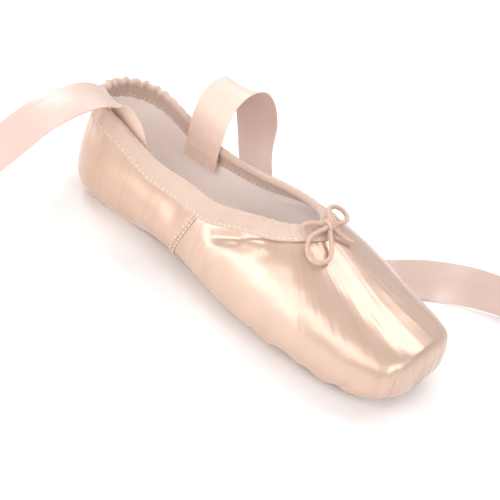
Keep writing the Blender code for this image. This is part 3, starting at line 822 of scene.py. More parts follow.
def spaced(line, count):
    """count + 1 points evenly along a line, its two ends among them."""
    length = run(line)
    return at(np.linspace(0, length[-1], count + 1), length, line)


for route in (RIBBON_RIGHT, RIBBON_LEFT):
    print("a ribbon's route:", round(length_of(smooth_route(route["place"], 8)), 3), "m")

# %% Drawstring
KNOT_WRAPS = 2.4
KNOT_WRAP_RADII = (0.0024, 0.0020)
KNOT_HALF_LENGTH = 0.0026
KNOT_REACH = 0.0014
KNOT_POINTS = 70
BOW_POINTS = 14


def knot():
    """The cord wrapped round the bow's middle."""
    turn = np.linspace(0, 2 * math.pi * KNOT_WRAPS, KNOT_POINTS)
    around = np.linspace(-KNOT_HALF_LENGTH, KNOT_HALF_LENGTH, KNOT_POINTS)
    path = np.stack(
        [KNOT_WRAP_RADII[0] * np.cos(turn), around, KNOT_WRAP_RADII[1] * np.sin(turn)], axis=1
    )
    path += KNOT_PLACE
    made = follow("knot", TWINE, [path], CORD, "cotton_cord", Radius=0.0012, Twist=900.0)
    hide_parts("drawstring_knot")
    return made


def tied(route, is_loop):
    """A route on the last that runs on into the knot: at both its ends, where it is a loop."""
    points = on_last(route)
    knot_middle = np.array(KNOT_PLACE)
    inside = [knot_middle + KNOT_REACH * unit(points[k] - knot_middle) for k in (0, -1)]
    points = np.concatenate([inside[:1], points, inside[1:] if is_loop else points[:0]])
    return spaced(smooth_route(points, 16), BOW_POINTS * len(route))


KNOT = knot()
BOW = {}
for name, route in DRAWSTRING.items():
    path = tied(route, name.startswith("loop"))
    radius = CORD_DIAMETER / 2
    made = follow("drawstring_cord_" + name, TWINE, [path], CORD, "cotton_cord", Radius=radius)
    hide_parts("drawstring_" + name)
    BOW[name] = (made, path)
    print(made.name, round(1000 * length_of(path), 1), "mm")
for side, on_it in (("right", [KNOT]), ("left", [])):
    made, path = BOW["loop_" + side]
    BOW["end_" + side][0]

# %% [markdown]
# A ribbon is thin, with a firm woven edge on each side, and it cups a little across. Its grid
# has a row for every few millimetres of the route and thirteen points across each side. The
# woven edges are a little thicker, and they ripple where the ribbon lies free. Its face is
# glossy and its back duller, as on real single-face ribbon.

# %% Ribbons
RIBBON_COLUMNS = 13
RIBBON_STEPS = 9
RIBBON_START = 8
SEWN_LENGTH = 0.030
RIBBON_CUP = 0.0007
CUP_TURN = 26.0
EDGE_RIPPLE = 0.0004
EDGE_RIPPLE_TURN = 170.0
WOVEN_EDGE = 0.8
HEM_LENGTH = 0.0095
HEM_SWELL = 1.5
FLOOR_CLEARANCE = 0.0001


def ribbon(name, route):
    """A satin ribbon along its route, sewn end first."""
    middle = smooth_route(route["place"], RIBBON_STEPS)[RIBBON_START:]
    across = smooth_route(route["width"], RIBBON_STEPS)[RIBBON_START:]
    along = unit(np.gradient(middle, axis=0))
    across = unit(across - along * (across * along).sum(1)[:, None])
    out = np.cross(along, across)
    reach = np.abs(across[:, 2]) * RIBBON_WIDTH / 2 + np.abs(out[:, 2]) * RIBBON_THICKNESS
    middle[:, 2] = np.maximum(middle[:, 2], GAP + reach)
    travel = run(middle)
    share = np.linspace(-1, 1, RIBBON_COLUMNS)
    free = np.clip((travel - SEWN_LENGTH) / SEWN_LENGTH, 0, 1)[:, None]
    cup = RIBBON_CUP * (1 - share**2)[None, :] * np.sin(travel * CUP_TURN + 0.5)[:, None] * free
    edge = np.abs(share)[None, :]
    ripple = EDGE_RIPPLE * np.sin(travel * EDGE_RIPPLE_TURN)[:, None] * edge**2 * free
    hem = 1 + HEM_SWELL * (1 - smoothed((travel - HEM_LENGTH) / 0.0008))[:, None]
    thick = RIBBON_THICKNESS / 2 * (0.7 + 0.5 * (edge > WOVEN_EDGE)) * hem
    rows = []
    for side in (-1, 1):
        place = middle[:, None] + across[:, None] * (share * RIBBON_WIDTH / 2)[None, :, None]
        rows.append(place + out[:, None] * (cup + ripple + side * thick)[:, :, None])
    section = np.concatenate([rows[0], rows[1][:, ::-1]], axis=1)
    section[:, :, 2] = np.maximum(section[:, :, 2], FLOOR_CLEARANCE)
    count = section.shape[1]
    faces = flipped(grid_faces(len(section), count, round_columns=True))
    last = (len(section) - 1) * count
    for j in range(RIBBON_COLUMNS - 1):
        faces.append((j, j + 1, count - 2 - j, count - 1 - j))
        faces.append((last + j + 1, last + j, last + count - 1 - j, last + count - 2 - j))
    width = np.concatenate([share, share[::-1]]) * RIBBON_WIDTH / 2
    cloth = cloth_grid(travel[:, None], width[None, :])
    back = [(f[0] % count) < RIBBON_COLUMNS - 1 and (f[2] % count) < RIBBON_COLUMNS for f in faces]
    finishes = (RIBBON_FACE, RIBBON_BACK)
    made = piece(name + "_tie", section, faces, cloth, 60, "ribbon_satin", finishes, back)
    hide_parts(name)
    print(name, round(length_of(middle), 3), "m")
    return middle, across, out


RIBBON_LINES = {
    "right": ribbon("ribbon_right", RIBBON_RIGHT),
    "left": ribbon("ribbon_left", RIBBON_LEFT),
}

# %% [markdown]
# ## The grid of the upper
# The upper is a ring of lines. Each runs from under the sole, round the feather edge and up to
# the collar. At the toe the lines fan out from the sole's tip, over the platform and back to
# the throat, just as the satin is drawn. The ring here has about six times the model's
# lines, so that pleats and creases are real shapes that catch the light.

# %% Ring of lines
TOE_LINES = 190
QUARTER_LINES = 50
HEEL_LINES = 32
LINE_POINTS = 62
HEM_POINTS = 9
TURN_WEIGHT = 0.010
LAP_STEPS = 8
UNDER_STEPS = 60
OVER_STEPS = 160


def by_zone(outline):
    """The ring's points on a half outline: so many in the toe, the quarter and the heel zone."""
    x = outline[:, 0]
    toe = int(np.argmax(x <= TOE_ZONE_END * SHOE_LENGTH))
    heel = int(np.argmax(x <= HEEL_ZONE_START * SHOE_LENGTH))
    cut = [0, toe, heel, len(x) - 1]
    counts = (TOE_LINES, QUARTER_LINES, HEEL_LINES)
    parts = [spaced(outline[a : b + 1], n)[:-1] for a, b, n in zip(cut, cut[1:], counts)]
    return np.concatenate([*parts, outline[-1:]])


def ring_plan():
    """Plan points of the half ring: opening edge, sole edge, widest line and collar."""
    feather = half_outline(half_width, 0.0, SHOE_LENGTH)
    sole = half_outline(sole_half_width, SOLE_START, SOLE_END)
    inner = half_outline(
        lambda x: sole_half_width(x, LASTING_LAP), SOLE_START + LASTING_LAP, SOLE_END - LASTING_LAP
    )
    collar = half_outline(opening_half_width, heel_collar_x(), THROAT_X)
    return [by_zone(line) for line in (inner, sole, feather, collar)]


def ring_line(inner, sole, feather, collar):
    """One line of the ring, finely: under the sole, round the feather edge and up to the collar."""
    lap = np.linspace(0, 1, LAP_STEPS + 1)[:-1, None]
    under = inner + (sole - inner) * lap
    under = np.column_stack([under, seat(under[:, 0])])
    angle = np.linspace(0, math.pi / 2, UNDER_STEPS + 1)[:-1, None]
    low_power = 2.1 + 1.6 * np.clip((feather[0] / SHOE_LENGTH - 0.8) / 0.15, 0, 1)
    out = np.sin(angle) ** (2 / low_power)
    round_under = sole + (feather - sole) * out
    foot = seat(round_under[:, 0])
    rise = (1 - np.cos(angle[:, 0]) ** (2 / low_power)) * (widest(feather[0]) - foot)
    round_under = np.column_stack([round_under, foot + rise])
    angle = np.linspace(0, math.pi / 2, OVER_STEPS + 1)[:, None]
    over = feather + (collar - feather) * (1 - np.cos(angle))
    over = np.column_stack([over, top_height(over[:, 0], over[:, 1])])
    return np.concatenate([under, round_under, over])


def paced(line):
    """Points along a line: closer where it turns, and evenly under the binding."""
    back = line[::-1]
    depth = run(back)
    under_binding = np.linspace(BINDING_WIDTH, 0.0, HEM_POINTS)
    last = at(under_binding, depth, back)
    line = np.concatenate([back[depth > BINDING_WIDTH][::-1], last[:1]])
    step = np.diff(line, axis=0)
    length = np.linalg.norm(step, axis=1)
    way = step / np.maximum(length, 1e-12)[:, None]
    turn = np.arccos(np.clip((way[1:] * way[:-1]).sum(1), -1, 1))
    cost = length + TURN_WEIGHT * np.concatenate([[0], turn])
    cost = np.concatenate([[0], np.cumsum(cost)])
    rest = at(np.linspace(0, cost[-1], LINE_POINTS), cost, line)
    return np.concatenate([rest, last[1:]])


def mirrored(half):
    """The whole ring from its left half, toe and heel lines shared."""
    other = half[1:-1][::-1].copy()
    other[..., 1] *= -1
    return np.concatenate([half, other])


def normals(grid):
    """Outward directions on a grid of ring lines."""
    along = np.roll(grid, -1, axis=0) - np.roll(grid, 1, axis=0)
    up = np.gradient(grid, axis=1)
    return unit(np.cross(along, up))


def wall_thickness(x):
    """The stiffened box is thicker than the quarters."""
    box = smoothed((x / SHOE_LENGTH - 0.62) / 0.14)
    return QUARTER_WALL + (BOX_WALL - QUARTER_WALL) * box


PLAN = ring_plan()
GRID = mirrored(np.stack([paced(ring_line(*row)) for row in zip(*PLAN)]))
OUT = normals(GRID)
WALL = wall_thickness(GRID[..., 0])
UP_LINE = run(GRID, axis=1)
LAP = np.linalg.norm(PLAN[1] - PLAN[0], axis=1)
FROM_SOLE = UP_LINE - np.concatenate([LAP, LAP[1:-1][::-1]])[:, None]
BELOW_COLLAR = UP_LINE[:, -1:] - UP_LINE
FROM_TOE = np.minimum(np.arange(len(GRID)), len(GRID) - np.arange(len(GRID)))
print("ring:", GRID.shape[0], "lines of", GRID.shape[1], "points")

# %% [markdown]
# ## Pleats and creases
# Under the toe the satin is gathered into pleats that are stuck down beneath the sole, and
# every wearer and hand leaves soft folds elsewhere. Pleats follow the ring's lines: a height
# that runs as rounded ridges with sharp valleys between them. The other folds are listed
# one by one, as troughs and ridges along short lines, and faint ripples follow the threads.

# %% Pleats
PLEAT_DEPTH = 0.0013
PLEAT_STRENGTH = (1.0, 0.72, 1.1, 0.8, 1.15, 0.66, 0.95, 1.05, 0.78, 1.12, 0.7, 1.0, 0.85, 1.08)


def pleat_height():
    """Ridges of the gathered satin between the sole's tip and the platform."""
    side = np.where(np.arange(len(GRID)) <= len(GRID) // 2, 1.0, -1.0)
    count = FROM_TOE / TOE_LINES * PLEATS_A_SIDE
    drift = 0.16 * np.sin(2.1 * count + 0.7 * side) + 0.10 * np.sin(5.3 * count + side)
    phase = (count + drift) * math.pi
    ridge = 1.35 * np.abs(np.cos(phase)) ** 0.8 - 0.75
    fine = 0.22 * (np.abs(np.cos(2.5 * phase + 0.6 * side)) - 0.6)
    lines_on_tip = 0.95 * (np.abs(np.cos(4.7 * phase + 0.9 * side)) ** 0.7 - 0.6)
    which = (np.floor(count + 0.5) * side).astype(int) % len(PLEAT_STRENGTH)
    strength = np.array(PLEAT_STRENGTH)[which]
    strength = (strength + np.roll(strength, 1) + np.roll(strength, -1)) / 3
    in_fan = smoothed((TOE_LINES * 0.93 - FROM_TOE) / (0.26 * TOE_LINES))
    x = GRID[:, :, 0]
    tip = smoothed((x - SHOE_LENGTH + 0.020) / 0.014)
    low = smoothed(((0.92 + 0.80 * tip) * widest(x) - GRID[:, :, 2]) / (0.55 * widest(x)))
    face = 1 - 0.45 * smoothed((x - SHOE_LENGTH + 0.022) / 0.018)
    start = smoothed(FROM_SOLE / 0.0025)
    height = (ridge + fine)[:, None] + lines_on_tip[:, None] * tip
    return PLEAT_DEPTH * height * (strength * in_fan)[:, None] * face * low * start


PLEATS = pleat_height()
print("pleats stand", round(1000 * float(PLEATS.max()), 2), "mm proud")

# %% Creases listed one by one
# Each row: start and end in plan, in mm from the middle of the shoe, then half width and depth
# in mm. A minus depth is a ridge.
CREASES = (
    (-2.0, -31.8, 8.0, -30.0, 3.3, 2.5),
    (8.0, -30.0, 27.0, -21.5, 2.3, 1.2),
    (-2.0, -35.5, 24.0, -28.5, 3.2, -0.7),
    (12.0, -32.5, 19.0, -30.5, 3.0, 0.6),
    (26.0, -23.0, 40.0, -12.0, 3.6, 0.4),
    (40.0, -13.0, 98.0, -12.0, 7.0, 0.35),
    (48.0, -20.0, 100.0, -19.0, 6.0, -0.30),
    (46.0, 13.0, 96.0, 12.0, 7.0, 0.30),
    (52.0, 22.0, 98.0, 19.0, 6.0, -0.25),
    (-6.0, 32.0, 16.0, 29.0, 3.2, 0.9),
    (-4.0, 35.5, 18.0, 33.0, 3.0, -0.5),
    (-103.0, -17.0, -94.0, -22.5, 5.0, 0.9),
    (-103.0, 17.0, -94.0, 22.5, 5.0, 0.7),
)
# On the walls of the heel each row gives the height of both ends too: start and end as x, y and
# z, then half width and depth
WALL_CREASES = (
    (-99.0, -19.0, 15.0, -34.0, -28.5, 17.0, 5.5, -0.7),
    (-97.0, -20.0, 35.0, -34.0, -27.0, 34.0, 8.5, 3.0),
    (-99.0, 19.0, 15.0, -40.0, 28.0, 17.0, 6.0, -0.5),
    (-95.0, 21.0, 35.0, -45.0, 27.0, 34.0, 8.0, 1.4),
)
# Ripples of the drawn satin: how many of the ring's lines each takes, its height, and the
# spacing of the lines where it has that height
BROAD_RIPPLE = 15
NARROW_RIPPLE = 8.3
RIPPLE_HEIGHT = 0.00002
RIPPLE_SPACING = 0.0004


def crease_height():
    """Soft troughs and ridges on the upper half of the satin."""
    place = placed(GRID)
    total = np.zeros(GRID.shape[:2])
    lines = [(on_last([(x0, y0, 0), (x1, y1, 0)]), w, d) for x0, y0, x1, y1, w, d in CREASES]
    lines += [(np.reshape(row[:6], (2, 3)) / 1000, *row[6:]) for row in WALL_CREASES]
    for (a, b), width, depth in lines:
        way = b - a
        along = np.clip(((place - a) @ way) / (way @ way), 0, 1)
        off = np.linalg.norm(place - a - along[..., None] * way, axis=2) * 1000 / width
        taper = 0.45 + 0.55 * np.sin(np.pi * (0.15 + 0.7 * along))
        total -= depth / 1000 * np.exp(-(off**2)) * taper
    return total


def hand_wobble():
    """The slight unevenness of satin drawn by hand over paste and canvas."""
    x, y, z = (1000 * GRID[..., k] for k in range(3))
    slow = np.sin(0.11 * x + 0.07 * y + 1.1) * np.sin(0.13 * y - 0.09 * z + 0.4)
    quick = np.sin(0.31 * x - 0.23 * y + 0.5) * np.sin(0.29 * z + 0.17 * y + 2.0)
    return 0.00026 * slow + 0.00009 * quick


def drawn_lines():
    """Faint long ripples along the satin drawn back from the toe, lower where its lines crowd."""
    line = FROM_TOE[:, None]
    sway = 1.9 * np.sin(UP_LINE * 47.0 + 0.05 * line)
    broad = np.sin(line * 2 * math.pi / BROAD_RIPPLE + sway)
    narrow = np.sin(line * 2 * math.pi / NARROW_RIPPLE - 0.8 * sway + 1.0)
    apart = np.linalg.norm(np.roll(GRID, -1, axis=0) - GRID, axis=2)
    height = RIPPLE_HEIGHT * np.clip(apart / RIPPLE_SPACING, 0, 1.3) ** 1.5
    return height * (broad + 0.6 * narrow) * smoothed((TOE_LINES + 10 - line) / 30)


# Puckers where the drawstring pulls the edge in, each with its pitch and where it starts
PUCKERS = ((0.0061, 0.0), (0.0038, 1.0), (0.0023, 2.0))
PUCKER_DEPTH = 0.00042
COLLAR_RUN = run(np.concatenate([GRID[:, -1], GRID[:1, -1]]))
FROM_THROAT = np.minimum(COLLAR_RUN, COLLAR_RUN[-1] - COLLAR_RUN)[:-1, None]
COLLAR_TURN = COLLAR_RUN[:-1] * 2 * math.pi
HEEL_GATHER = 0.20 + 0.80 * smoothed((0.045 - GRID[:, -1, 0]) / 0.03)


def puckers(*shares):
    """Waves along the collar, with a share of each pitch, strongest round the heel."""
    waves = [
        share * np.sin(COLLAR_TURN / pitch + start)
        for share, (pitch, start) in zip(shares, PUCKERS)
    ]
    return sum(waves) * HEEL_GATHER


def gathers():
    """The puckers fade below the binding."""
    fade = np.exp(-np.clip(BELOW_COLLAR - BINDING_WIDTH, 0, 1) / 0.005)
    return PUCKER_DEPTH * puckers(1.0, 0.6)[:, None] * fade


open_satin = smoothed((BELOW_COLLAR - 0.0075) / 0.004)
off_sole = smoothed(FROM_SOLE / 0.003)
SOFT_FOLDS = crease_height() + hand_wobble() + drawn_lines() + gathers()
RELIEF = PLEATS + SOFT_FOLDS * open_satin * off_sole
SKIN = GRID + OUT * RELIEF[:, :, None]
print("deepest fold", round(-1000 * float(RELIEF.min()), 2), "mm")

# %% [markdown]
# ## The upper
# Satin, canvas and lining are one wall here, 1.6 mm thick at the sides and 2.6 mm at the
# stiffened box. The outside takes the pleats and creases, and the inside only the troughs.
# The wall is closed under the sole and at the collar, and the inside gets the lining's
# cotton.


# %% Upper
INSIDE_SHARE = 0.8


def upper():
    inside = GRID - OUT * WALL[:, :, None]
    inside += OUT * (INSIDE_SHARE * np.minimum(RELIEF - PLEATS, 0))[:, :, None]
    section = np.concatenate([SKIN, inside[:, ::-1]], axis=1)
    lines, count = section.shape[:2]
    faces = flipped(grid_faces(lines, count, round_rows=True, round_columns=True))
    cloth = cloth_grid(FROM_THROAT, np.concatenate([UP_LINE, UP_LINE[:, ::-1]], axis=1))
    inner = [count // 2 - 1 <= (f[3] % count) < count - 1 for f in faces]
    finishes = (SHOE_SATIN, LINING)
    made = piece("satin_upper", placed(section), faces, cloth, 70, "satin", finishes, inner)
    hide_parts("upper")
    return made


print("upper:", len(upper().data.polygons), "faces")

# %% [markdown]
# ## The binding
# The binding is a cotton tape folded over the edge, with the drawstring in its fold. So its
# section is flat on the sides and fat at the top. It is gathered round the heel, where the
# cord pulls hardest. Its rows are the upper's own last rows, set off along their normals.

# %% Binding
# Outside of the section from its lower edge up: height over that edge, and how far it stands
# off the satin, both in mm
TAPE_SIDE = (
    (0.0, 0.35), (0.15, 0.62), (0.5, 0.74), (1.0, 0.66), (1.5, 0.50), (2.1, 0.62), (3.2, 0.66),
    (4.6, 0.64), (6.0, 0.66), (7.2, 0.78), (8.2, 1.05), (9.2, 1.22), (10.0, 1.20),
)
TAPE_CLEARANCE = 0.0001
ROLL_RISE = 0.0017
ROLL_STEPS = 7
RUFFLE_HEIGHT = 0.00092


def hem_rows(height):
    """Points and outward directions at a height over the binding's lower edge, all round."""
    level = np.linspace(0, BINDING_WIDTH, HEM_POINTS)
    rows = GRID[:, -HEM_POINTS:]
    outs = OUT[:, -HEM_POINTS:]
    k = int(np.clip(np.searchsorted(level, height, side="right") - 1, 0, HEM_POINTS - 2))
    t = (height - level[k]) / (level[k + 1] - level[k])
    point = rows[:, k] * (1 - t) + rows[:, k + 1] * t
    return point, unit(outs[:, k] * (1 - t) + outs[:, k + 1] * t)


def ruffle(height):
    """How the gathered tape stands in and out round the collar."""
    return RUFFLE_HEIGHT * puckers(1.0, 0.5, 0.25) * (0.6 + 40 * height)


def binding():
    wall = WALL[:, -1]
    top, out = hem_rows(BINDING_WIDTH)
    up = GRID[:, -1] - GRID[:, -2]
    up = unit(up - out * (up * out).sum(1)[:, None])
    rows = []
    for height, off in TAPE_SIDE:
        point, way = hem_rows(height / 1000)
        stand = off / 1000 + ruffle(height / 1000) * min(1.0, 0.2 + off)
        rows.append(point + way * stand[:, None])
    full = TAPE_SIDE[-1][1] / 1000
    rise = ROLL_RISE + 0.5 * ruffle(BINDING_WIDTH)
    for angle in np.linspace(0, math.pi, ROLL_STEPS + 2)[1:-1]:
        shift = -wall / 2 + (wall / 2 + full) * math.cos(angle) + ruffle(BINDING_WIDTH) * 0.8
        rows.append(top + out * shift[:, None] + up * (rise * math.sin(angle))[:, None])
    for height, off in reversed(TAPE_SIDE):
        point, way = hem_rows(height / 1000)
        stand = off / 1000 - ruffle(height / 1000) * min(1.0, 0.2 + off) * 0.8
        rows.append(point - way * (wall + stand)[:, None])
    for height, side in ((0.0, -1), (BINDING_WIDTH, -1), (BINDING_WIDTH, 1), (0.0, 1)):
        point, way = hem_rows(height)
        shift = TAPE_CLEARANCE if side > 0 else -wall - TAPE_CLEARANCE
        rows.append(point + way * np.broadcast_to(shift, wall.shape)[:, None])
    section = np.stack(rows, axis=1)
    faces = flipped(grid_faces(*section.shape[:2], round_rows=True, round_columns=True))
    cloth = cloth_grid(FROM_THROAT, run(section, axis=1))
    made = piece("tape_binding", placed(section), faces, cloth, 75, "cotton_tape", (TAPE,))
    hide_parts("binding")
    return made


print("binding:", len(binding().data.polygons), "faces")

# %% [markdown]
# ## Seams
# The vamp and the two quarters meet at the sides in a lapped seam, sewn with two rows, and
# the quarters meet behind the heel in a raised seam. A seam is a narrow strip laid on the
# satin: for each height up the wall it finds where the seam's line crosses the ring, and
# goes a little to both sides of it.

# %% Seam strips
SIDE_SEAM_TOP = -0.016
SIDE_SEAM_FOOT = -0.029
SIDE_SEAM_WIDTH = 0.0034
SIDE_SEAM_LIFT = 0.00062
BACK_SEAM_WIDTH = 0.0024
BACK_SEAM_LIFT = 0.00085
HALF_RING = len(GRID) // 2


def side_measure():
    """Distance in front of the side seam's line, for every point of the ring."""
    x = GRID[:, :, 0] - SHOE_LENGTH / 2
    share = np.clip(GRID[:, :, 2] / SIDE_HEIGHT, 0, 1)
    return x - (SIDE_SEAM_FOOT + (SIDE_SEAM_TOP - SIDE_SEAM_FOOT) * share)


def on_skin(measure, lines, row, want):
    """Where a measure has the wanted value on one row of the ring, and the way out there."""
    lines = lines[np.argsort(measure[lines, row])]
    place, out = (at(want, measure[lines, row], grid[lines, row]) for grid in (SKIN, OUT))
    return place, unit(out)


def seam_strip(measure, lines, rows, offsets, lifts):
    """A grid up the wall: a point for each offset beside the seam's line."""
    strip = []
    for row in rows:
        line = []
        for offset, lift in zip(offsets, lifts):
            place, out = on_skin(measure, lines, row, offset)
            line.append(place + out * lift)
        strip.append(line)
    return placed(np.array(strip))


def strip_piece(name, strip, finish, slot, flip):
    """A strip with its underside closed."""
    rows, columns = strip.shape[:2]
    low = strip[:, ::-1].copy()
    section = np.concatenate([strip, low[:, 1:-1]], axis=1)
    section[:, columns:] = (strip[:, :1] + strip[:, -1:]) / 2 * 0.5 + section[:, columns:] * 0.5
    count = section.shape[1]
    last = (rows - 1) * count
    faces = grid_faces(rows, count, round_columns=True)
    faces.append(tuple(reversed(range(count))))
    faces.append(tuple(last + k for k in range(count)))
    cloth = cloth_grid(run(section, axis=0), run(section, axis=1))
    return piece(name, section, flipped(faces) if flip else faces, cloth, 50, slot, (finish,))


ROWS = range(9, LINE_POINTS - 1)
MEASURE = side_measure()
LEFT = np.arange(TOE_LINES - 20, TOE_LINES + QUARTER_LINES + 10)
RIGHT = (len(GRID) - LEFT) % len(GRID)
SIDE_OFFSETS = np.array([-1.0, -0.97, -0.80, -0.4, 0.0, 0.4, 0.80, 0.97, 1.0]) * SIDE_SEAM_WIDTH / 2
SIDE_LIFTS = np.array([-0.2, 0.8, 1.1, 0.75, 0.35, 0.75, 1.1, 0.8, -0.2]) * SIDE_SEAM_LIFT
BACK_OFFSETS = np.array([-1.0, -0.8, -0.35, 0.0, 0.35, 0.8, 1.0]) * BACK_SEAM_WIDTH / 2
BACK_LIFTS = np.array([-0.2, 0.5, 1.0, 0.85, 1.0, 0.5, -0.2]) * BACK_SEAM_LIFT
# The side seam strips take the deeper satin, with its painted shade of their grooves.
for side, lines, flip in (("right", RIGHT, True), ("left", LEFT, False)):
    strip = seam_strip(MEASURE, lines, ROWS, SIDE_OFFSETS, SIDE_LIFTS)
    strip_piece("side_seam_" + side, strip, SEAM_SATIN_PAINTED_SHADE, "satin", flip)
HEEL = np.arange(HALF_RING - 12, HALF_RING + 13)
strip = seam_strip(GRID[:, :, 1], HEEL, ROWS, BACK_OFFSETS, BACK_LIFTS)
strip_piece("back_seam", strip, SHOE_SATIN, "satin", True)
print("seams:", len(strip), "rows up the wall")

# %% [markdown]
# ## Stitches
# The same stitch tree serves every row. Only its path and sizes differ: two rows on each side
# seam, one beside the back seam on both sides, one round the binding outside and in, and the
# hems of the ribbons.

# %% Stitch rows
BINDING_STITCH_HEIGHT = 0.0015
BINDING_STITCH_LIFT = 0.00052
BACK_STITCH_OFFSET = 0.0017
BACK_STITCH_LIFT = 0.00008
HEM_BOX_START = 0.0018
HEM_BOX_END = 0.0085
HEM_BOX_HALF = 0.0095
HEM_STITCH_LIFT = 0.00055


def seam_row(measure, lines, offset, lift):
    return seam_strip(measure, lines, ROWS, [offset], [lift])[:, 0]


side_rows = [
    seam_row(MEASURE, lines, share * SIDE_SEAM_WIDTH / 2, 1.05 * SIDE_SEAM_LIFT)
    for lines in (LEFT, RIGHT)
    for share in (-0.62, 0.62)
]
follow(
    "side_seam_stitches", STITCHES, side_rows, THREAD, "satin",
    Pitch=0.0025, Stitch_Length=0.0018, Thread_Radius=0.00036,
)
back_rows = [
    seam_row(GRID[:, :, 1], HEEL, side * BACK_STITCH_OFFSET, BACK_STITCH_LIFT) for side in (-1, 1)
]
follow(
    "back_seam_stitches", STITCHES, back_rows, THREAD, "satin",
    Pitch=0.0021, Stitch_Length=0.0016, Thread_Radius=0.00016,
)


def binding_row(side):
    """The path of the stitches round the binding, outside for 1 and inside for -1."""
    point, way = hem_rows(BINDING_STITCH_HEIGHT)
    stand = BINDING_STITCH_LIFT + side * ruffle(BINDING_STITCH_HEIGHT) * 0.7
    shift = stand if side > 0 else -WALL[:, -1] - stand
    row = placed(point + way * shift[:, None])
    return np.concatenate([row, row[:1]])


follow(
    "binding_stitches", STITCHES, [binding_row(1), binding_row(-1)], THREAD, "cotton_tape",
    Pitch=0.0029, Stitch_Length=0.0020, Thread_Radius=0.00028,
)


def hem_lines(side):
    """A box of stitches where a ribbon is sewn to the lining."""
    middle, across, out = RIBBON_LINES[side]
    travel = run(middle)
    ends = [int(np.argmin(np.abs(travel - reach))) for reach in (HEM_BOX_START, HEM_BOX_END)]
    sides = (travel > HEM_BOX_START) & (travel < HEM_BOX_END)
    width = np.linspace(-HEM_BOX_HALF, HEM_BOX_HALF, 12)[:, None]
    parts = [(k, width) for k in ends] + [(sides, -HEM_BOX_HALF), (sides, HEM_BOX_HALF)]
    return [
        middle[k] + across[k] * reach + out[k] * face * HEM_STITCH_LIFT
        for k, reach in parts
        for face in (-1, 1)
    ]


follow(
    "ribbon_hem_stitches", STITCHES, hem_lines("right") + hem_lines("left"), THREAD, "ribbon_satin",
    Pitch=0.0019, Stitch_Length=0.0014, Thread_Radius=0.00024,
)

# %% [markdown]
# ## The sole
# The outsole is one piece of leather, glued and sewn through a shallow channel near its edge.
# Its underside is a set of outlines, each a little inside the last, so the channel can be
# pressed between two of them and runs true all round.

# %% Outsole
CHANNEL_INSET = 0.0045
CHANNEL_DEPTH = 0.00035
FORE_ROW_INSET = 0.0085
FORE_ROW_START = 0.012
CHANNEL_HALF = 0.0004
SOLE_AROUND = 260
# Insets of the underside's outlines, in mm: close together at the edge and in the channels
SOLE_INSETS = (
    0.0, 0.25, 0.7, 1.4, 3.0, 3.9, 4.2, 4.5, 4.8, 5.1, 6.2, 7.9, 8.2, 8.5, 8.8, 9.1, 11.5,
)


def sole_ring(inset):
    """A closed outline in plan, inset from the sole's edge."""
    half = half_outline(
        lambda x: sole_half_width(x, inset), SOLE_START + inset, SOLE_END - inset
    )
    return mirrored(spaced(half, SOLE_AROUND // 2))


def in_channel(plan, inset):
    """1 in the sewn channel, and in the second one round the fore part, down to 0 beside them."""
    fore = smoothed((plan[:, 0] - SHOE_LENGTH / 2 - FORE_ROW_START) / 0.004)
    main = np.exp(-(((inset - CHANNEL_INSET) / CHANNEL_HALF) ** 2))
    return main + fore * np.exp(-(((inset - FORE_ROW_INSET) / CHANNEL_HALF) ** 2))


def sole_under(plan, inset):
    """Height of the sole's underside, with its drawn-in edge and channel."""
    edge = np.clip(1 - inset / 0.0016, 0, 1)
    base = seat(plan[:, 0]) - GAP - SOLE_THICKNESS
    return base + SOLE_EDGE_ROUND * edge**2 + CHANNEL_DEPTH * in_channel(plan, inset)


def wall_height(plan, share):
    """A height up the sole's edge, from its underside to its top."""
    low = sole_under(plan, 0.0)
    return low + (seat(plan[:, 0]) - GAP - low) * share


def outsole():
    rings, edge, channel = [], [], []

    def ring(inset, height, edge_share, channel_share):
        plan = sole_ring(inset)
        rings.append(np.column_stack([plan, height(plan)]))
        edge.append(np.full(len(plan), edge_share))
        channel.append(channel_share * in_channel(plan, inset))

    for inset in reversed(SOLE_INSETS):
        inset = inset / 1000
        ring(inset, lambda plan: sole_under(plan, inset), float(inset < 0.001), 1.0)
    for share in (0.35, 0.75, 1.0):
        ring(0.0, lambda plan: wall_height(plan, share), 1.0, 0.0)
    for inset in (0.004, 0.010):
        ring(inset, lambda plan: wall_height(plan, 1.0), 0.2, 0.0)
    points = np.stack(rings, axis=1)
    lines, count = points.shape[:2]
    faces = grid_faces(lines, count, round_rows=True)
    # The first and last outlines are filled by strips from one side to the other
    for column, turn in ((0, 1), (count - 1, -1)):
        for i in range(lines // 2):
            corners = (i, i + 1, (lines - i - 1) % lines, (lines - i) % lines)
            strip = list(dict.fromkeys(corner * count + column for corner in corners))
            if len(strip) > 2:
                faces.append(tuple(strip[::turn]))
    points = placed(points)
    cloth = points[..., :2].reshape(-1, 2)
    made = piece("leather_sole", points, faces, cloth, 55, "leather", (SOLE_LEATHER,))
    carry(made.data, "edge", np.stack(edge, axis=1))
    carry(made.data, "channel", np.clip(np.stack(channel, axis=1), 0, 1))
    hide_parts("outsole")
    return made


print("outsole:", len(outsole().data.polygons), "faces")

# %% [markdown]
# Brown thread shows in the channel. A second row runs round the fore part, farther in, and
# holds the sole to the board. Both use the stitch tree.


# %% Sole stitches
def sole_row(inset, from_x):
    """Points of an inset outline's underside: all round it, or those ahead of from_x."""
    plan = sole_ring(inset)
    row = placed(np.column_stack([plan, sole_under(plan, inset) + 0.00002]))
    if from_x is None:
        return np.concatenate([row, row[:1]])
    ahead = np.roll(row, len(row) // 2, axis=0)
    return ahead[ahead[:, 0] > from_x]


follow(
    "sole_stitches", STITCHES,
    [sole_row(CHANNEL_INSET, None), sole_row(FORE_ROW_INSET, FORE_ROW_START + 0.004)],
    SOLE_THREAD, "leather", Pitch=0.0030, Stitch_Length=0.0019, Thread_Radius=0.00024,
)

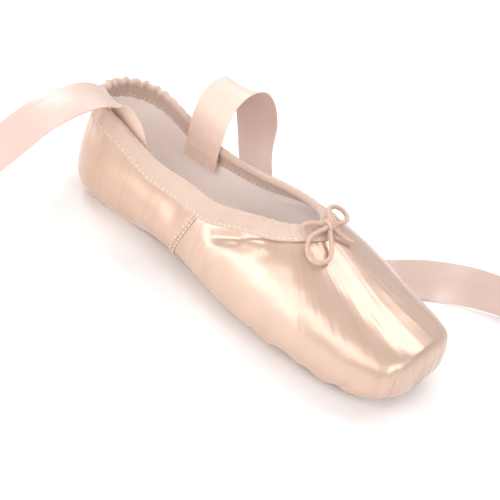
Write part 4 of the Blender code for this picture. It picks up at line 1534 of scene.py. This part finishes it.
# %% [markdown]
# ## Inside
# A board covered in cotton lies on the lining's turned-in edge, and a sock of softer cotton
# covers it from the heel to under the throat. Both are dished plates: their sides climb
# the wall as the foot's bed does.


# %% Insole and sock
BED_HEEL_ROUND = 0.013
BED_TOE_ROUND = 0.008
BED_FULL = 2.1
BED_ROWS = 90
BED_COLUMNS = 27
BED_TUCK = 0.0001


def sole_under_bed(x):
    """Half the outsole's width under the bed, without the outsole's rounded ends."""
    return sole_half_width(np.clip(x, SOLE_START + 0.012, SOLE_END - 0.008))


def bed_half(x, start, end, wider):
    narrow = sole_under_bed(x)
    reach = narrow + wider * (half_width(x) - narrow)
    return reach * rounded(x - start, BED_HEEL_ROUND, 2.0) * rounded(end - x, BED_TOE_ROUND, 2.2)


def bed_low(x, y):
    """The lining's surface under the insole."""
    sole = sole_under_bed(x)
    way = np.clip((np.abs(y) - sole) / (half_width(x) - sole), 0, 1)
    rise = (1 - (1 - way**BED_FULL) ** (1 / BED_FULL)) * (widest(x) - seat(x))
    return seat(x) + wall_thickness(x) + 1.5 * GAP + 1.3 * rise


def bed(name, start, end, wider, low, thick, finish, slot):
    """A dished plate on the foot's bed, with a rounded top edge."""
    angle = np.linspace(0, math.pi, BED_ROWS)
    xs = (start + end) / 2 - (end - start) / 2 * np.cos(angle)
    xs[0] += BED_TUCK
    xs[-1] -= BED_TUCK
    share = np.sin(np.linspace(-math.pi / 2, math.pi / 2, BED_COLUMNS))
    x = np.repeat(xs[:, None], len(share), axis=1)
    y = bed_half(xs, start, end, wider)[:, None] * share[None, :]
    bottom = np.stack([x, y, bed_low(x, y) + low], axis=2)
    edge = np.minimum(rounded(1.0001 - np.abs(share), 0.03, 2.0)[None, :], 1.0)
    top = np.stack([x, y, bed_low(x, y) + low + thick * (0.25 + 0.75 * edge)], axis=2)
    section = placed(np.concatenate([bottom, top[:, ::-1]], axis=1))
    rows, count = section.shape[:2]
    faces = grid_faces(rows, count, round_columns=True)
    last = (rows - 1) * count
    for j in range(len(share) - 1):
        faces.append((j, count - 1 - j, count - 2 - j, j + 1))
        faces.append((last + j, last + j + 1, last + count - 2 - j, last + count - 1 - j))
    print(name, len(faces), "faces")
    return piece(name, section, faces, section[..., :2].reshape(-1, 2), 50, slot, (finish,))


SOCK_FRONT = SHOE_LENGTH / 2 + 0.018
SOCK_THICKNESS = 0.0006
board = bed(
    "insole_board", SOLE_START + 0.004, SOLE_END - 0.001, 0.34,
    0.0, INSOLE_THICKNESS, LINING, "sock",
)
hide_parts("insole")
bed(
    "sock_lining", SOLE_START + 0.005, SOCK_FRONT, 0.30,
    INSOLE_THICKNESS, SOCK_THICKNESS, SOCK, "sock",
)

# %% [markdown]
# ## Floor and light
# The shoe stands on a pale floor in a plain studio. Satin needs something to mirror: two
# broad soft lights, high behind and in front, smaller ones to the left and right, and
# darker room between them, which gives the bands along the vamp.

# %% Studio
FLOOR_SIZE = 8.0
FLOOR_DROP = -0.0002
# Each light: its place, what it is aimed at, its width and height in metres, and its power
LIGHTS = {
    "high_back": ((0.02, 0.66, 1.00), (0.02, 0.0, 0.03), 1.20, 0.40, 6.0),
    "front": ((0.10, -0.95, 0.78), (0.03, 0.0, 0.03), 1.00, 0.55, 4.6),
    "left_high": ((-0.95, 0.20, 0.95), (-0.05, 0.0, 0.03), 0.50, 0.50, 4.4),
    "low_left": ((-0.55, -0.90, 0.28), (-0.07, 0.0, 0.03), 0.90, 0.50, 4.8),
    "right": ((0.95, -0.30, 0.62), (0.0, 0.0, 0.03), 0.50, 0.50, 3.2),
}


def studio():
    finish = Finish("floor")
    cloud = finish.noise(finish.place(), 3.0, 2.0)
    floor_finish = finish.shaded(
        {
            "Base Color": finish.blend(cloud, rgb(0.96, 0.96, 0.96), rgb(0.97, 0.97, 0.97)),
            "Roughness": 0.75,
        }
    )
    half = FLOOR_SIZE / 2
    corners = [(-half, -half), (half, -half), (half, half), (-half, half)]
    mesh = bpy.data.meshes.new("floor")
    mesh.from_pydata([(x, y, FLOOR_DROP) for x, y in corners], [], [(0, 1, 2, 3)])
    mesh.materials.append(floor_finish)
    floor = bpy.data.objects.new("floor", mesh)
    bpy.context.scene.collection.objects.link(floor)
    for name, (place, aim, wide, tall, power) in LIGHTS.items():
        light = bpy.data.lights.new(name, "AREA")
        light.shape = "RECTANGLE"
        light.size = wide
        light.size_y = tall
        light.energy = power
        made = bpy.data.objects.new(name, light)
        made.location = place
        made.rotation_euler = (Vector(aim) - Vector(place)).to_track_quat("-Z", "Y").to_euler()
        bpy.context.scene.collection.objects.link(made)
    world = bpy.data.worlds.new("room")
    world.use_nodes = True
    backdrop = world.node_tree.nodes["Background"]
    backdrop.inputs["Color"].default_value = (0.97, 0.95, 0.95, 1.0)
    backdrop.inputs["Strength"].default_value = 0.56
    bpy.context.scene.world = world
    bpy.context.scene.view_settings.view_transform = "Standard"


studio()
print("lights:", list(LIGHTS))
